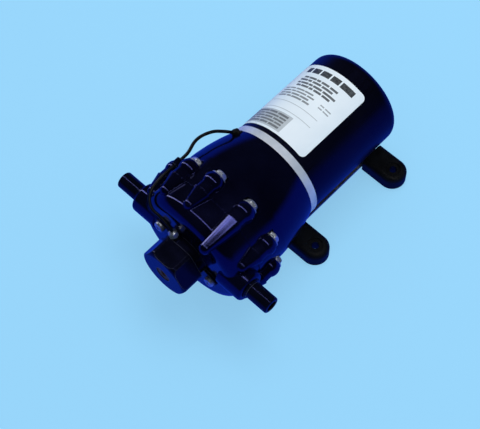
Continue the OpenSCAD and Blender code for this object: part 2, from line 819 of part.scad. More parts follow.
module front_cover() {
    color(navy) on_axis() difference() {
        union() {
            rotate_extrude() half_drum(cover_r, z_cover, z_split - trim, cover_edge);
            for (clock = screw_clock) at_clock(clock, screw_r) nose(nose_of(clock));
            for (side = [-1, 1]) at_port(side) rotate_extrude()
                half_drum(port_boss_r, port_face, drum_r - port_boss_in, port_round);
        }
        rod(drum_d, z_split - 2 * trim, z_split);
        rod(drum_in, z_split - 1, z_plenum);
        rod(seal_r - 1.5, z_plenum - 1, z_cover_in);
        difference() {
            pipe(inlet_ring_r, seal_r + 1.5, z_plenum - 0.5, z_cover_in);
            translate([seal_r - 1, port_rise - port_bore / 2 - 2, z_plenum - 1])
                cube([drum_r, port_bore + 4, plenum + 2]);
            for (clock = ear_clock) at_clock(clock, ear_r)
                rod(ear_screw_d / 2 + 2, z_cover_in - 4, z_cover_in + 1);
        }
        pipe(seal_r + 0.7, seal_r - 0.7, z_plenum - 0.5, z_plenum + 1.5);
        rod(1.5, z_cover_in - 1, z_cover + 1);
        for (clock = screw_clock) at_clock(clock, screw_r)
            rod(screw_d / 2 + slip, z_split - 1, stud_tip(clock) + 0.5);
        for (side = [-1, 1]) at_port(side) {
            rod(socket_r, port_face - socket_depth, port_face + 1);
            rod(port_bore / 2, side < 0 ? inlet_ring_r - 6 : seal_r - 4, port_face);
        }
        for (clock = ear_clock) at_clock(clock, ear_r)
            rod(ear_screw_d / 2 + slip, z_cover_in - 3, z_cover + 1);
    }
}

module clamp_studs() {
    color(steel) on_axis() for (clock = screw_clock) at_clock(clock, screw_r)
        rod(screw_d / 2, z_boss_back - nut_h - 0.3, stud_tip(clock));
}

module clamp_nuts() {
    color(silver) on_axis() for (clock = screw_clock) at_clock(clock, screw_r) difference() {
        union() {
            translate([0, 0, z_boss_back - nut_h])
                cylinder(r = nut_r, h = nut_h - nut_flange_t / 2, $fn = 6);
            rod(nut_flange_r, z_boss_back - nut_flange_t, z_boss_back);
        }
        rod(screw_d / 2 + slip, z_boss_back - nut_h - 1, z_boss_back + 1);
    }
}

module hose_fitting() {
    neck = port_face + collar_t;
    difference() {
        union() {
            rod(socket_r - slip, port_face - socket_depth + ease, port_face + 0.5);
            rotate_extrude() half_drum(socket_r - slip, neck, port_face, 0.8);
            rotate_extrude() half_drum(spigot_d / 2, port_reach, neck - 0.5, 1.2);
        }
        rod(port_bore / 2, port_face - socket_depth - 1, port_reach + 1);
        pipe(socket_r + 1, socket_r - 2 * ring_section_r - 0.15,
            port_face - ring_back - ring_groove, port_face - ring_back + ring_groove);
    }
}

module inlet_fitting() {
    color(black) on_axis() at_port(-1) hose_fitting();
}

module outlet_fitting() {
    color(black) on_axis() at_port(1) hose_fitting();
}

module port_o_rings() {
    color(rubber) on_axis() for (side = [-1, 1]) at_port(side) translate([0, 0, port_face - ring_back])
        rotate_extrude() translate([socket_r - ring_section_r - 0.1, 0]) circle(ring_section_r, $fn = 32);
}

// Pressure switch

// The way of the lead out of the switch base: local z runs outwards
module at_lead_exit() {
    at_clock(lead_exit_clock) translate([0, 0, z_cover + lead_exit]) rotate([-90, 0, 0]) children();
}

module switch_base() {
    z_ear = z_cover + ear_t;
    color(black) on_axis() difference() {
        union() {
            rod(cap_flat - 0.5, z_cover, z_seat);
            for (clock = ear_clock) at_clock(clock) {
                translate([0, ear_r, 0]) rod(ear_pad_r, z_cover, z_ear);
                translate([-ear_pad_r, 0, z_cover]) cube([2 * ear_pad_r, ear_r, ear_t]);
            }
        }
        rod(11 + slip, z_cover - 1, z_cover + switch_rubber_t);
        rod(plunger_r + slip, z_cover, z_seat + 1);
        for (clock = ear_clock) at_clock(clock, ear_r) rod(ear_screw_d / 2 + ease, z_cover - 1, z_seat + 1);
        at_lead_exit() rod(2.4 + slip, cap_flat - 4, cap_flat + 5);
        at_lead_exit() rod(lead_d / 2 + ease, cap_flat - 5.5, cap_flat);
        at_clock(lead_exit_clock, cap_flat - 5) rod(lead_d / 2, z_cover + lead_exit, z_seat + 1);
    }
}

module switch_diaphragm() {
    color(rubber) on_axis() rod(11, z_cover, z_cover + switch_rubber_t);
}

module switch_plunger() {
    color("#e6e3da") on_axis() union() {
        rod(plunger_r, z_cover + switch_rubber_t + 0.1, z_collar + 0.5);
        rod(plunger_collar_r, z_collar, z_spring);
        rod(3, z_spring - 0.5, z_spring + 4);
    }
}

module switch_spring() {
    color(steel) on_axis() translate([0, 0, z_spring + slip])
        coil_spring(4.6, 1, z_adjuster - z_spring - 2 * slip, 5);
}

module switch_cap() {
    color(black) on_axis() difference() {
        intersection() {
            translate([0, 0, z_seat]) cylinder(r = cap_d / 2, h = cap_len, $fn = 6);
            rotate_extrude() half_drum(cap_d / 2 - cap_edge, z_cap, z_seat - 1, 3);
        }
        rod(cap_flat - 3, z_seat - 1, z_cap - cap_front_t);
        rod(adjuster_d / 2 + slip, z_seat, z_cap + 1);
    }
}

// The contact block under the plunger's collar, with its lever and two terminals
module microswitch() {
    back = -sqrt(pow(cap_flat - 3, 2) - 25) + ease;
    color("#2a2a30") on_axis() {
        translate([-5, back, z_seat]) cube([10, 4.5, cap_len - cap_front_t - ease]);
        translate([-2, back + 4, z_spring + plunger_stroke + 0.3]) cube([4, 3, 0.6]);
        for (z = [3, 8]) translate([-7.5, back + 2, z_seat + z]) cube([3, 0.8, 3]);
    }
}

module switch_adjuster() {
    color("#b9973f") on_axis() difference() {
        rod(adjuster_d / 2, z_adjuster, z_cap - 0.5);
        translate([0, 0, z_cap - 4]) cylinder(r = 2.6, h = 5, $fn = 6);
    }
}

module switch_screws() {
    z_ear = z_cover + ear_t;
    color(silver) on_axis() for (clock = ear_clock) at_clock(clock, ear_r) difference() {
        union() {
            rod(ear_screw_d / 2, z_cover_in - 2.5, z_ear + 0.5);
            rotate_extrude() half_drum(ear_head_r, z_ear + ear_head_t, z_ear, ear_head_t / 2);
        }
        for (turn = [20, 110]) rotate([0, 0, turn]) translate([-2.2, -0.45, z_ear + ear_head_t / 2])
            cube([4.4, 0.9, ear_head_t]);
    }
}

module switch_lead() {
    color(black) on_axis() swept_tube(smooth_route(lead_route, 3), lead_d / 2, 8,
        [cos(lead_clock), sin(lead_clock), 0]);
}

// The rubber gland where the lead enters the bell, in the lead's own half plane
module gland_shape(extra) {
    translate([0, gland_at[0], gland_at[1]]) rotate([-45, 0, 0]) {
        rod(gland_r + extra, -gland_tail - extra, 0);
        translate([0, 0, -1.6 - extra])
            cylinder(r1 = gland_r + 1.2 + extra, r2 = gland_r - 0.2 + extra, h = 4);
    }
}

module lead_glands() {
    color(rubber) on_axis() {
        at_clock(gland_clock) difference() {
            gland_shape(0);
            translate([0, gland_at[0], gland_at[1]]) rotate([-45, 0, 0]) rod(lead_d / 2 + slip, -10, 10);
        }
        at_lead_exit() pipe(2.4, lead_d / 2 + slip, cap_flat - 3.8, cap_flat + 2.5);
    }
}

module lead_clip() {
    color(black) on_axis() at_clock(lead_clock) difference() {
        union() {
            translate([-2.8, drum_r - 2, z_clip - 3]) cube([5.6, clip_r - drum_r + 2, 6]);
            translate([0, clip_r, 0]) rod(2.8, z_clip - 3, z_clip + 3);
        }
        rod(drum_r + 0.02, z_clip - 5, z_clip + 5);
        translate([0, clip_r, 0]) rod(lead_d / 2 + 0.3, z_clip - 5, z_clip + 5);
    }
}

// Base

module base_plate() {
    color(steel) translate([0, 0, z_base_plate]) linear_extrude(base_t) difference() {
        union() {
            square([2 * (foot_in - ease), hole_y + 6], center = true);
            for (y = [-1, 1]) translate([0, y * hole_y / 2]) square([2 * ear_reach, ear_w], center = true);
        }
        for (z = saddle_stations) translate([0, y_plate - z]) circle(base_screw_d / 2 + ease);
    }
}

module motor_saddles() {
    color(black) difference() {
        for (z = saddle_stations) translate([-17, y_plate - z - saddle_w / 2, z_base_plate + base_t])
            cube([34, saddle_w, axis_h - can_r * 0.9 - z_base_plate - base_t]);
        on_axis() rod(can_r + 0.02, z_can_back - 20, z_plate_front + 20);
        for (z = saddle_stations) translate([0, y_plate - z, 0]) rod(base_screw_d / 2 + ease, 0, axis_h);
    }
}

module base_screws() {
    color(steel) for (z = saddle_stations) translate([0, y_plate - z, 0]) difference() {
        union() {
            rod(base_screw_d / 2, z_base_plate - 1, axis_h - can_in - 0.4);
            rod(base_screw_d * 0.9, z_base_plate - 2.4, z_base_plate);
        }
        translate([-2, -0.4, 0]) cube([4, 0.8, z_base_plate - 1.4]);
    }
}

// A rubber foot: a tongue round a mounting hole, slotted for the base plate's ear
module foot(side, end) {
    color(rubber) translate([0, end * hole_y / 2, 0]) mirror([side < 0 ? 1 : 0, 0, 0]) difference() {
        union() {
            translate([hole_x / 2, 0, 0]) rotate([0, 0, -90]) rotate_extrude(angle = 180)
                half_drum(foot_w / 2, foot_h, 0, foot_round);
            translate([foot_in, 0, 0]) rotate([90, 0, 90]) linear_extrude(foot_len)
                for (half = [0, 1]) mirror([half, 0]) half_drum(foot_w / 2, foot_h, 0, foot_round);
        }
        translate([foot_in - 1, -ear_w / 2 - slip, z_base_plate])
            cube([ear_reach + ease - foot_in + 1, ear_w + 2 * slip, base_t]);
        translate([hole_x / 2, 0, 0]) rod(hole_d / 2, -1, foot_h + 1);
        translate([hole_x / 2, 0, 0]) rod(hole_d, foot_h - foot_dish, foot_h + 1);
    }
}

module foot_front_left() {
    foot(-1, -1);
}

module foot_front_right() {
    foot(1, -1);
}

module foot_rear_left() {
    foot(-1, 1);
}

module foot_rear_right() {
    foot(1, 1);
}

motor_can();
motor_label();
motor_magnets();
motor_end_plate();
brush_card();
carbon_brushes();
brush_springs();
motor_screws();
armature_shaft();
armature_core();
armature_windings();
commutator();
front_bearing_outer();
front_bearing_inner();
front_bearing_balls();
rear_bearing_outer();
rear_bearing_inner();
rear_bearing_balls();
drive_housing();
wobble_cam();
cam_set_screw();
wobble_bearing_outer();
wobble_bearing_inner();
wobble_bearing_balls();
wobble_plate();
pistons();
piston_screws();
diaphragm();
valve_plate();
inlet_valves();
outlet_valve();
outlet_seal();
front_cover();
clamp_studs();
clamp_nuts();
inlet_fitting();
outlet_fitting();
port_o_rings();
switch_base();
switch_diaphragm();
switch_plunger();
switch_spring();
switch_cap();
microswitch();
switch_adjuster();
switch_screws();
switch_lead();
lead_glands();
lead_clip();
base_plate();
motor_saddles();
base_screws();
foot_front_left();
foot_front_right();
foot_rear_left();
foot_rear_right();
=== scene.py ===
"""Finishes, lead, fastenings and studio of a caravan water pump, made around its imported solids.

Laid out as an add-on and run as a script. Everything is in metres in the frame of the solids: the
pump's axis runs along Y with the head towards -Y, Z is up, and the origin is in the middle of the
foot holes.
"""

import json
import math

import bmesh
import bpy
from bpy.props import FloatProperty, FloatVectorProperty, IntProperty, PointerProperty
from mathutils import Matrix, Vector


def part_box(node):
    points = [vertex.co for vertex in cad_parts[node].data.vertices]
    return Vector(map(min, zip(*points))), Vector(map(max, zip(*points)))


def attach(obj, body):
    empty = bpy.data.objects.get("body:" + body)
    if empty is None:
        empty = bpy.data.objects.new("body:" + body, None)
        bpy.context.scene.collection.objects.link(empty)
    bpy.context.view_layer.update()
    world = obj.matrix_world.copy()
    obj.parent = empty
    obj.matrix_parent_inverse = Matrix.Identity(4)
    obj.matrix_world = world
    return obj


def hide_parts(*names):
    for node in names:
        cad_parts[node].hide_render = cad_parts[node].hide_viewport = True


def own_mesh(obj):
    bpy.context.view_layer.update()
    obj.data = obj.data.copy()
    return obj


bl_info = {
    "name": "Caravan water pump",
    "version": (1, 1, 0),
    "blender": (4, 5, 0),
    "location": "3D View > Sidebar > Pump",
    "description": "Finishes, switch lead, fastenings and studio for a caravan water pump",
    "category": "Object",
}

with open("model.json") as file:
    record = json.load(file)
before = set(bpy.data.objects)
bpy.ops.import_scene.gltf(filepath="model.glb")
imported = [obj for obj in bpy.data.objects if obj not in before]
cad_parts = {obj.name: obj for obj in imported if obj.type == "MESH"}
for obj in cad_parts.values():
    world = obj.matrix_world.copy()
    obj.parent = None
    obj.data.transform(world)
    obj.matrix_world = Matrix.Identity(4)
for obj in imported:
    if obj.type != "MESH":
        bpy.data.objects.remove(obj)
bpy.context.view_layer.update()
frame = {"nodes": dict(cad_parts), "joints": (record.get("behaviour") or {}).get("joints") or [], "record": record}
joints = {joint["name"]: joint for joint in frame["joints"]}

MM = 0.001
HULL_BODY, WOBBLE_BODY = "pump", "wobbler"
# The middle of the bright end plate, on the pump's axis
AXIS = Vector(joints["armature_spin"]["pos_m"])
# Lays a turned piece's own Z along the pump's axis, towards the motor
ALONG_AXIS = Matrix.Rotation(-math.pi / 2, 4, "X")
LABEL_LOW, LABEL_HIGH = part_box("motor_label")
NUTS_LOW, NUTS_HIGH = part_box("clamp_nuts")

# Clamp screws: their clock angles, and the radius of their circle in millimetres
SCREW_CLOCKS = (29, 65, 101, 137, 173, -149, -109, -69, -38, -7)
SCREW_R = 45.5

# The switch lead's route: clock angle, distance from the axis and way forward of the end plate, the
# last two in millimetres
LEAD_ROUTE = (
    (-25, 16.25, 87.7), (-25, 20.55, 87.7), (-25, 24.55, 87.7), (-30, 29.75, 87.6),
    (-38, 34.75, 87.4), (-47, 39.5, 86.8), (-51, 45, 83.2), (-52, 48.6, 77), (-52, 50, 69.5),
    (-52, 50.5, 62), (-52, 50.5, 52), (-52, 50.7, 42),
    (-52, 53.2, 33.6), (-52, 53.4, 28), (-51, 52.2, 22.5), (-48, 50.4, 18),
    (-43.5, 48, 14.8), (-41, 46, 12.5), (-41, 44, 10.5), (-41, 42, 8.5),
)

# The lead's boots: clock angle, distance from the axis, way forward, lean outwards in degrees,
# and the way along and radius of each turn of their outline, in millimetres
LEAD_BOOTS = (
    (
        -41, 42, 8.5, 45,
        (
            (-5.2, 2.1), (-1.6, 2.1), (-1.6, 3.2), (-1.0, 3.3), (-0.7, 2.8), (-0.2, 2.95),
            (0.1, 2.5), (0.6, 2.65), (0.9, 2.2), (1.4, 2.3), (1.7, 1.9), (2.4, 1.6),
        ),
    ),
    (
        -25, 17.75, 87.7, 90,
        (
            (-3.8, 2.4), (0.1, 2.4), (0.1, 2.9), (0.7, 2.9), (0.9, 2.35), (1.3, 2.5),
            (1.5, 2.0), (1.9, 2.1), (2.5, 1.6),
        ),
    ),
)

# The lead's gland nut at the switch: clock angle, distance from the axis and way forward, the last
# two in millimetres
GLAND_NUT = (-25, 18.6, 87.7)

# The switch spring: its mean radius and wire in millimetres, its turns, points in each turn, and
# the clock angle of its rear end
SPRING_R, SPRING_WIRE, SPRING_TURNS, SPRING_STEPS, SPRING_CLOCK = 4.6, 1.0, 5, 24, 90
SPRING_LOW, SPRING_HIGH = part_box("switch_spring")

# The diaphragm's pads: their clock angles, and in millimetres the radius of their circle, their own
# radius half way between piston and chamber wall, where the rubber flexes, and the slit there
PAD_CLOCKS = (0, 120, 240)
PAD_CIRCLE_R, PAD_R, PAD_SLIT = 21, 13.25, 0.5
DIAPHRAGM_LOW, DIAPHRAGM_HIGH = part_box("diaphragm")
# Corners of its mesh that are closer than this are one corner
WELD = 0.002 * MM

# Steps round a nut, a boot and the tool that cuts the diaphragm
NUT_STEPS, BOOT_STEPS, CUT_STEPS = 48, 32, 72
# Edges that turn by more than this stay sharp, in degrees: on nuts, and on everything else
NUT_SHARP, SHARP = 28, 30

# The label's print: rows along the can as shares of the label's length, their reach round it as
# shares of the printed field, and how dark the ink is
LABEL_PRINT = (
    (
        ((0.87, 0.945),),
        ((0.33, 0.39), (0.405, 0.49), (0.505, 0.60), (0.615, 0.70), (0.715, 0.85)),
        1.0,
    ),
    (
        ((0.785, 0.812), (0.65, 0.677)),
        ((0.38, 0.43), (0.44, 0.52), (0.53, 0.57), (0.58, 0.66), (0.67, 0.75)),
        0.9,
    ),
    (((0.74, 0.767),), ((0.36, 0.45), (0.46, 0.50), (0.51, 0.60), (0.61, 0.72)), 0.9),
    (
        ((0.695, 0.722),),
        ((0.36, 0.40), (0.41, 0.49), (0.50, 0.54), (0.55, 0.64), (0.65, 0.78)),
        0.9,
    ),
    (
        ((0.595, 0.617), (0.515, 0.537)),
        ((0.28, 0.34), (0.35, 0.42), (0.43, 0.52), (0.53, 0.62)),
        0.75,
    ),
    (
        ((0.555, 0.577), (0.475, 0.497)),
        ((0.28, 0.39), (0.40, 0.45), (0.46, 0.57), (0.58, 0.65)),
        0.75,
    ),
    (((0.56, 0.578), (0.52, 0.538)), ((0.72, 0.76), (0.77, 0.83)), 0.6),
    (((0.40, 0.408), (0.29, 0.298)), ((0.28, 0.80),), 0.45),
    (((0.025, 0.255),), ((0.1, 0.65),), 0.42),
    (
        ((0.05, 0.075), (0.13, 0.155), (0.21, 0.235)),
        ((0.14, 0.25), (0.26, 0.40), (0.41, 0.50), (0.51, 0.62)),
        0.85,
    ),
    (
        ((0.09, 0.115), (0.17, 0.195)),
        ((0.14, 0.31), (0.32, 0.37), (0.38, 0.54), (0.55, 0.62)),
        0.85,
    ),
)
# The printed field's left and right end round the can, from its top
PRINT_LEFT, PRINT_RIGHT = math.radians(-90), math.radians(40)

# How far apart the bands of a wave texture lie at scale 1
WAVE_STEP = math.tau / 20
# Most of a noise texture's values lie between these
NOISE_SPAN = {"From Min": 0.3, "From Max": 0.7}
# Cosines of the turn at which an edge begins to turn pale and at which it is fully pale: 14 and 37 degrees. The
# pale edge is wear, and on black acetal also a painted highlight
PALE_EDGE_START, PALE_EDGE_FULL = 0.97, 0.8
BEVEL_SAMPLES = 4
WHITE, BLACK = (1, 1, 1, 1), (0, 0, 0, 1)

# The photograph's frame in pixels, and the point of the pump's axis that the camera was fitted
# about: in millimetres forward of the end plate, and in the photograph
FRAME_W, FRAME_H = 480, 429
AIM_FORWARD = 21.1
AIM_X, AIM_Y = 252.1, 191.2
AIM = AXIS + Vector((0, -AIM_FORWARD * MM, 0))
CLIP_NEAR, CLIP_FAR = 0.02, 20

# Lamps: name, place, width and length in metres, power in watts, and whether only gloss shows it
STUDIO_LIGHTS = (
    ("overhead_softbox", (0.0, 0.15, 1.0), (0.6, 0.5), 4.0, False),
    ("left_strip", (-0.84, 0.02, 0.56), (0.06, 1.3), 1.7, True),
    ("top_strip", (0.12, 0.0, 1.06), (0.06, 1.5), 1.85, True),
)
# The floor: half its width in metres, and how much of its brightness is its own
FLOOR_HALF, FLOOR_GLOW = 3.0, 0.7
# The room: the strength of its soft light, and how high the floor's shine fades to a dark ceiling
SOFT_LIGHT, SHINE_TOP = 0.65, 0.2


def linear(code):
    """Turns an sRGB hex value into the linear colour that Blender works with."""
    channels = [int(code[i : i + 2], 16) / 255 for i in (1, 3, 5)]
    return [c / 12.92 if c <= 0.04045 else ((c + 0.055) / 1.055) ** 2.4 for c in channels]


def rgba(colour):
    return (*colour, 1.0)


def on_axis(clock, radius, station):
    """A point about the pump's axis.

    The clock angle runs from up towards +X. The distance from the axis and the way forward of the
    end plate are in millimetres.
    """
    turn = math.radians(clock)
    return AXIS + Vector((radius * math.sin(turn), -station, radius * math.cos(turn))) * MM


def link(piece):
    bpy.context.scene.collection.objects.link(piece)
    return piece


def add_node(tree, kind, inputs=None, **settings):
    """Adds a shader node, with its settings, and fills or links its inputs."""
    made = tree.nodes.new("ShaderNode" + kind)
    for key, value in settings.items():
        setattr(made, key, value)
    for key, value in (inputs or {}).items():
        if isinstance(value, bpy.types.NodeSocket):
            tree.links.new(value, made.inputs[key])
        else:
            made.inputs[key].default_value = value
    return made


def new_material(name):
    """An empty material, and the coordinates of the solids in metres."""
    material = bpy.data.materials.new(name)
    material.use_nodes = True
    material.node_tree.nodes.clear()
    place = add_node(material.node_tree, "TexCoord").outputs["Object"]
    return material, material.node_tree, place


def moulded(
    name, colour, bloom, rough, skin_mm, skin_depth_mm, flow_mm,
    edge_mm=0.3, gloss=None, rubbed=None,
):
    """A moulded polymer: fine tool grain, slow flow marks, and edges that may be paler, as wear and as a painted
    edge highlight.
    """
    material, tree, place = new_material(name)
    flow = add_node(
        tree, "TexNoise", {"Vector": place, "Scale": 1 / (flow_mm * MM), "Detail": 3.0}
    )
    skin = add_node(
        tree, "TexNoise", {"Vector": place, "Scale": 1 / (skin_mm * MM), "Detail": 2.0}
    )
    marks = add_node(tree, "MapRange", {"Value": flow.outputs["Fac"]} | NOISE_SPAN)
    tones = {"Factor": marks.outputs[0], "A": rgba(colour), "B": rgba(bloom)}
    tone = add_node(tree, "Mix", tones, data_type="RGBA")
    dull = add_node(
        tree, "MapRange", {"Value": marks.outputs[0], "To Min": rough[0], "To Max": rough[1]}
    )
    edge = add_node(tree, "Bevel", {"Radius": edge_mm * MM}, samples=BEVEL_SAMPLES)
    if rubbed:
        # An edge is where the rounded surface turns away from the face. Its pale colour is wear and a painted edge
        # highlight in one, and it is patchy
        face = add_node(tree, "NewGeometry").outputs["Normal"]
        turn = add_node(
            tree, "VectorMath", {0: edge.outputs[0], 1: face}, operation="DOT_PRODUCT"
        )
        edge_turn_mask = add_node(
            tree,
            "MapRange",
            {"Value": turn.outputs["Value"], "From Min": PALE_EDGE_START, "From Max": PALE_EDGE_FULL},
        )
        wear_and_highlight = add_node(
            tree, "Math", {0: edge_turn_mask.outputs[0], 1: skin.outputs["Fac"]}, operation="MULTIPLY"
        )
        tones = {"Factor": wear_and_highlight.outputs[0], "A": tone.outputs[2], "B": rgba(rubbed)}
        tone = add_node(tree, "Mix", tones, data_type="RGBA")
    relief = add_node(
        tree,
        "Bump",
        {
            "Height": skin.outputs["Fac"],
            "Distance": skin_depth_mm * MM,
            "Normal": edge.outputs[0],
        },
    )
    surface = {
        "Base Color": tone.outputs[2],
        "Roughness": dull.outputs[0],
        "Normal": relief.outputs[0],
    }
    shader = add_node(tree, "BsdfPrincipled", surface | (gloss or {}))
    add_node(tree, "OutputMaterial", {"Surface": shader.outputs[0]})
    return material


def plated(name, colour, stain, rough, stain_mm, metallic=1.0):
    """Plated or ground metal: a cloudy stain, fine handling marks, and broken edges."""
    marks_mm, marks_depth_mm, edge_mm = 0.8, 0.01, 0.2
    material, tree, place = new_material(name)
    cloud = add_node(
        tree, "TexNoise", {"Vector": place, "Scale": 1 / (stain_mm * MM), "Detail": 4.0}
    )
    marks = add_node(
        tree, "TexNoise", {"Vector": place, "Scale": 1 / (marks_mm * MM), "Detail": 3.0}
    )
    stained = add_node(tree, "MapRange", {"Value": cloud.outputs["Fac"]} | NOISE_SPAN)
    tones = {"Factor": stained.outputs[0], "A": rgba(colour), "B": rgba(stain)}
    tone = add_node(tree, "Mix", tones, data_type="RGBA")
    dull = add_node(
        tree,
        "MapRange",
        {"Value": marks.outputs["Fac"], "To Min": rough[0], "To Max": rough[1]} | NOISE_SPAN,
    )
    edge = add_node(tree, "Bevel", {"Radius": edge_mm * MM}, samples=BEVEL_SAMPLES)
    relief = add_node(
        tree,
        "Bump",
        {
            "Height": marks.outputs["Fac"],
            "Distance": marks_depth_mm * MM,
            "Normal": edge.outputs[0],
        },
    )
    shader = add_node(
        tree,
        "BsdfPrincipled",
        {
            "Base Color": tone.outputs[2],
            "Metallic": metallic,
            "Roughness": dull.outputs[0],
            "Normal": relief.outputs[0],
        },
    )
    add_node(tree, "OutputMaterial", {"Surface": shader.outputs[0]})
    return material


def can_enamel(props):
    """Stoved enamel on drawn steel: deep blue-black gloss, with orange peel, haze and scuffs."""
    # From crest to crest of the peel, its depth, a patch of haze, and the rounded edge
    peel_mm, peel_depth_mm, haze_mm, edge_mm = 2.4, 0.02, 26, 0.5
    # Scuffs run along the can, about 3 mm wide and 25 mm long
    scuff_mm, scuff_stretch = 3, 0.12
    rough = (0.26, 0.36)
    material, tree, place = new_material("stoved_enamel")
    peel = add_node(
        tree, "TexNoise", {"Vector": place, "Scale": 1 / (peel_mm * MM), "Detail": 1.0}
    )
    haze = add_node(
        tree, "TexNoise", {"Vector": place, "Scale": 1 / (haze_mm * MM), "Detail": 3.0}
    )
    drawn = add_node(tree, "Mapping", {"Vector": place, "Scale": (1, scuff_stretch, 1)})
    scuff = add_node(
        tree,
        "TexNoise",
        {"Vector": drawn.outputs[0], "Scale": 1 / (scuff_mm * MM), "Detail": 4.0},
    )
    hazed = add_node(tree, "MapRange", {"Value": haze.outputs["Fac"]} | NOISE_SPAN)
    tones = {
        "Factor": hazed.outputs[0],
        "A": rgba(props.can_paint),
        "B": rgba(linear("#05050c")),
    }
    tone = add_node(tree, "Mix", tones, data_type="RGBA")
    dull = add_node(
        tree,
        "MapRange",
        {"Value": scuff.outputs["Fac"], "To Min": rough[0], "To Max": rough[1]} | NOISE_SPAN,
    )
    edge = add_node(tree, "Bevel", {"Radius": edge_mm * MM}, samples=BEVEL_SAMPLES)
    relief = add_node(
        tree,
        "Bump",
        {
            "Height": peel.outputs["Fac"],
            "Distance": peel_depth_mm * MM,
            "Normal": edge.outputs[0],
        },
    )
    shader = add_node(
        tree,
        "BsdfPrincipled",
        {
            "Base Color": tone.outputs[2],
            "Roughness": dull.outputs[0],
            "Specular IOR Level": 0.5,
            "Specular Tint": rgba(props.gloss),
            "Normal": relief.outputs[0],
        },
    )
    add_node(tree, "OutputMaterial", {"Surface": shader.outputs[0]})
    return material


def label_film(props):
    """Printed polyester film: satin white and clouded, with plain rows and bands in worn ink."""
    # A cloud in the film, a patch of worn ink, and a ripple of the film with its depth
    cloud_mm, worn_mm, ripple_mm, ripple_depth_mm = 18, 1.2, 9, 0.05
    # How much of the ink is left where it is worn and where it isn't
    ink_left = (0.88, 1.0)
    rough = (0.34, 0.54)
    material, tree, place = new_material("printed_film")
    part = add_node(tree, "SeparateXYZ", {"Vector": place})
    height = add_node(tree, "Math", {0: part.outputs["Z"], 1: AXIS.z}, operation="SUBTRACT")
    turn = add_node(
        tree, "Math", {0: part.outputs["X"], 1: height.outputs[0]}, operation="ARCTAN2"
    )
    # Along the can, 0 at the label's front edge and 1 at its rear edge
    along = add_node(
        tree,
        "MapRange",
        {"Value": part.outputs["Y"], "From Min": LABEL_LOW.y, "From Max": LABEL_HIGH.y},
    )
    around = add_node(
        tree,
        "MapRange",
        {"Value": turn.outputs[0], "From Min": PRINT_LEFT, "From Max": PRINT_RIGHT},
    )
    ink = None
    for rows, ends, strength in LABEL_PRINT:
        masks = []
        for value, stops in ((along, rows), (around, ends)):
            ramp = add_node(tree, "ValToRGB", {"Fac": value.outputs[0]})
            ramp.color_ramp.interpolation = "CONSTANT"
            points = ramp.color_ramp.elements
            points[0].position, points[0].color = 0.0, BLACK
            points.remove(points[1])
            for start, end in stops:
                points.new(start).color = WHITE
                points.new(end).color = BLACK
            masks.append(ramp.outputs["Color"])
        both = add_node(tree, "Math", {0: masks[0], 1: masks[1]}, operation="MULTIPLY")
        inked = add_node(tree, "Math", {0: both.outputs[0], 1: strength}, operation="MULTIPLY")
        layer = inked.outputs[0]
        if ink is None:
            ink = layer
        else:
            ink = add_node(tree, "Math", {0: ink, 1: layer}, operation="MAXIMUM").outputs[0]
    cloud = add_node(
        tree, "TexNoise", {"Vector": place, "Scale": 1 / (cloud_mm * MM), "Detail": 3.0}
    )
    worn = add_node(
        tree, "TexNoise", {"Vector": place, "Scale": 1 / (worn_mm * MM), "Detail": 3.0}
    )
    tones = {
        "Factor": cloud.outputs["Fac"],
        "A": rgba(props.label_film),
        "B": rgba(linear("#dfe6ec")),
    }
    film = add_node(tree, "Mix", tones, data_type="RGBA")
    rubbed = add_node(
        tree,
        "MapRange",
        {"Value": worn.outputs["Fac"], "To Min": ink_left[0], "To Max": ink_left[1]} | NOISE_SPAN,
    )
    patchy = add_node(tree, "Math", {0: ink, 1: rubbed.outputs[0]}, operation="MULTIPLY")
    tones = {"Factor": patchy.outputs[0], "A": film.outputs[2], "B": rgba(props.label_ink)}
    printed = add_node(tree, "Mix", tones, data_type="RGBA")
    dull = add_node(
        tree,
        "MapRange",
        {"Value": cloud.outputs["Fac"], "To Min": rough[0], "To Max": rough[1]},
    )
    ripple = add_node(
        tree, "TexNoise", {"Vector": place, "Scale": 1 / (ripple_mm * MM), "Detail": 2.0}
    )
    relief = add_node(
        tree, "Bump", {"Height": ripple.outputs["Fac"], "Distance": ripple_depth_mm * MM}
    )
    shader = add_node(
        tree,
        "BsdfPrincipled",
        {
            "Base Color": printed.outputs[2],
            "Roughness": dull.outputs[0],
            "Normal": relief.outputs[0],
        },
    )
    add_node(tree, "OutputMaterial", {"Surface": shader.outputs[0]})
    return material


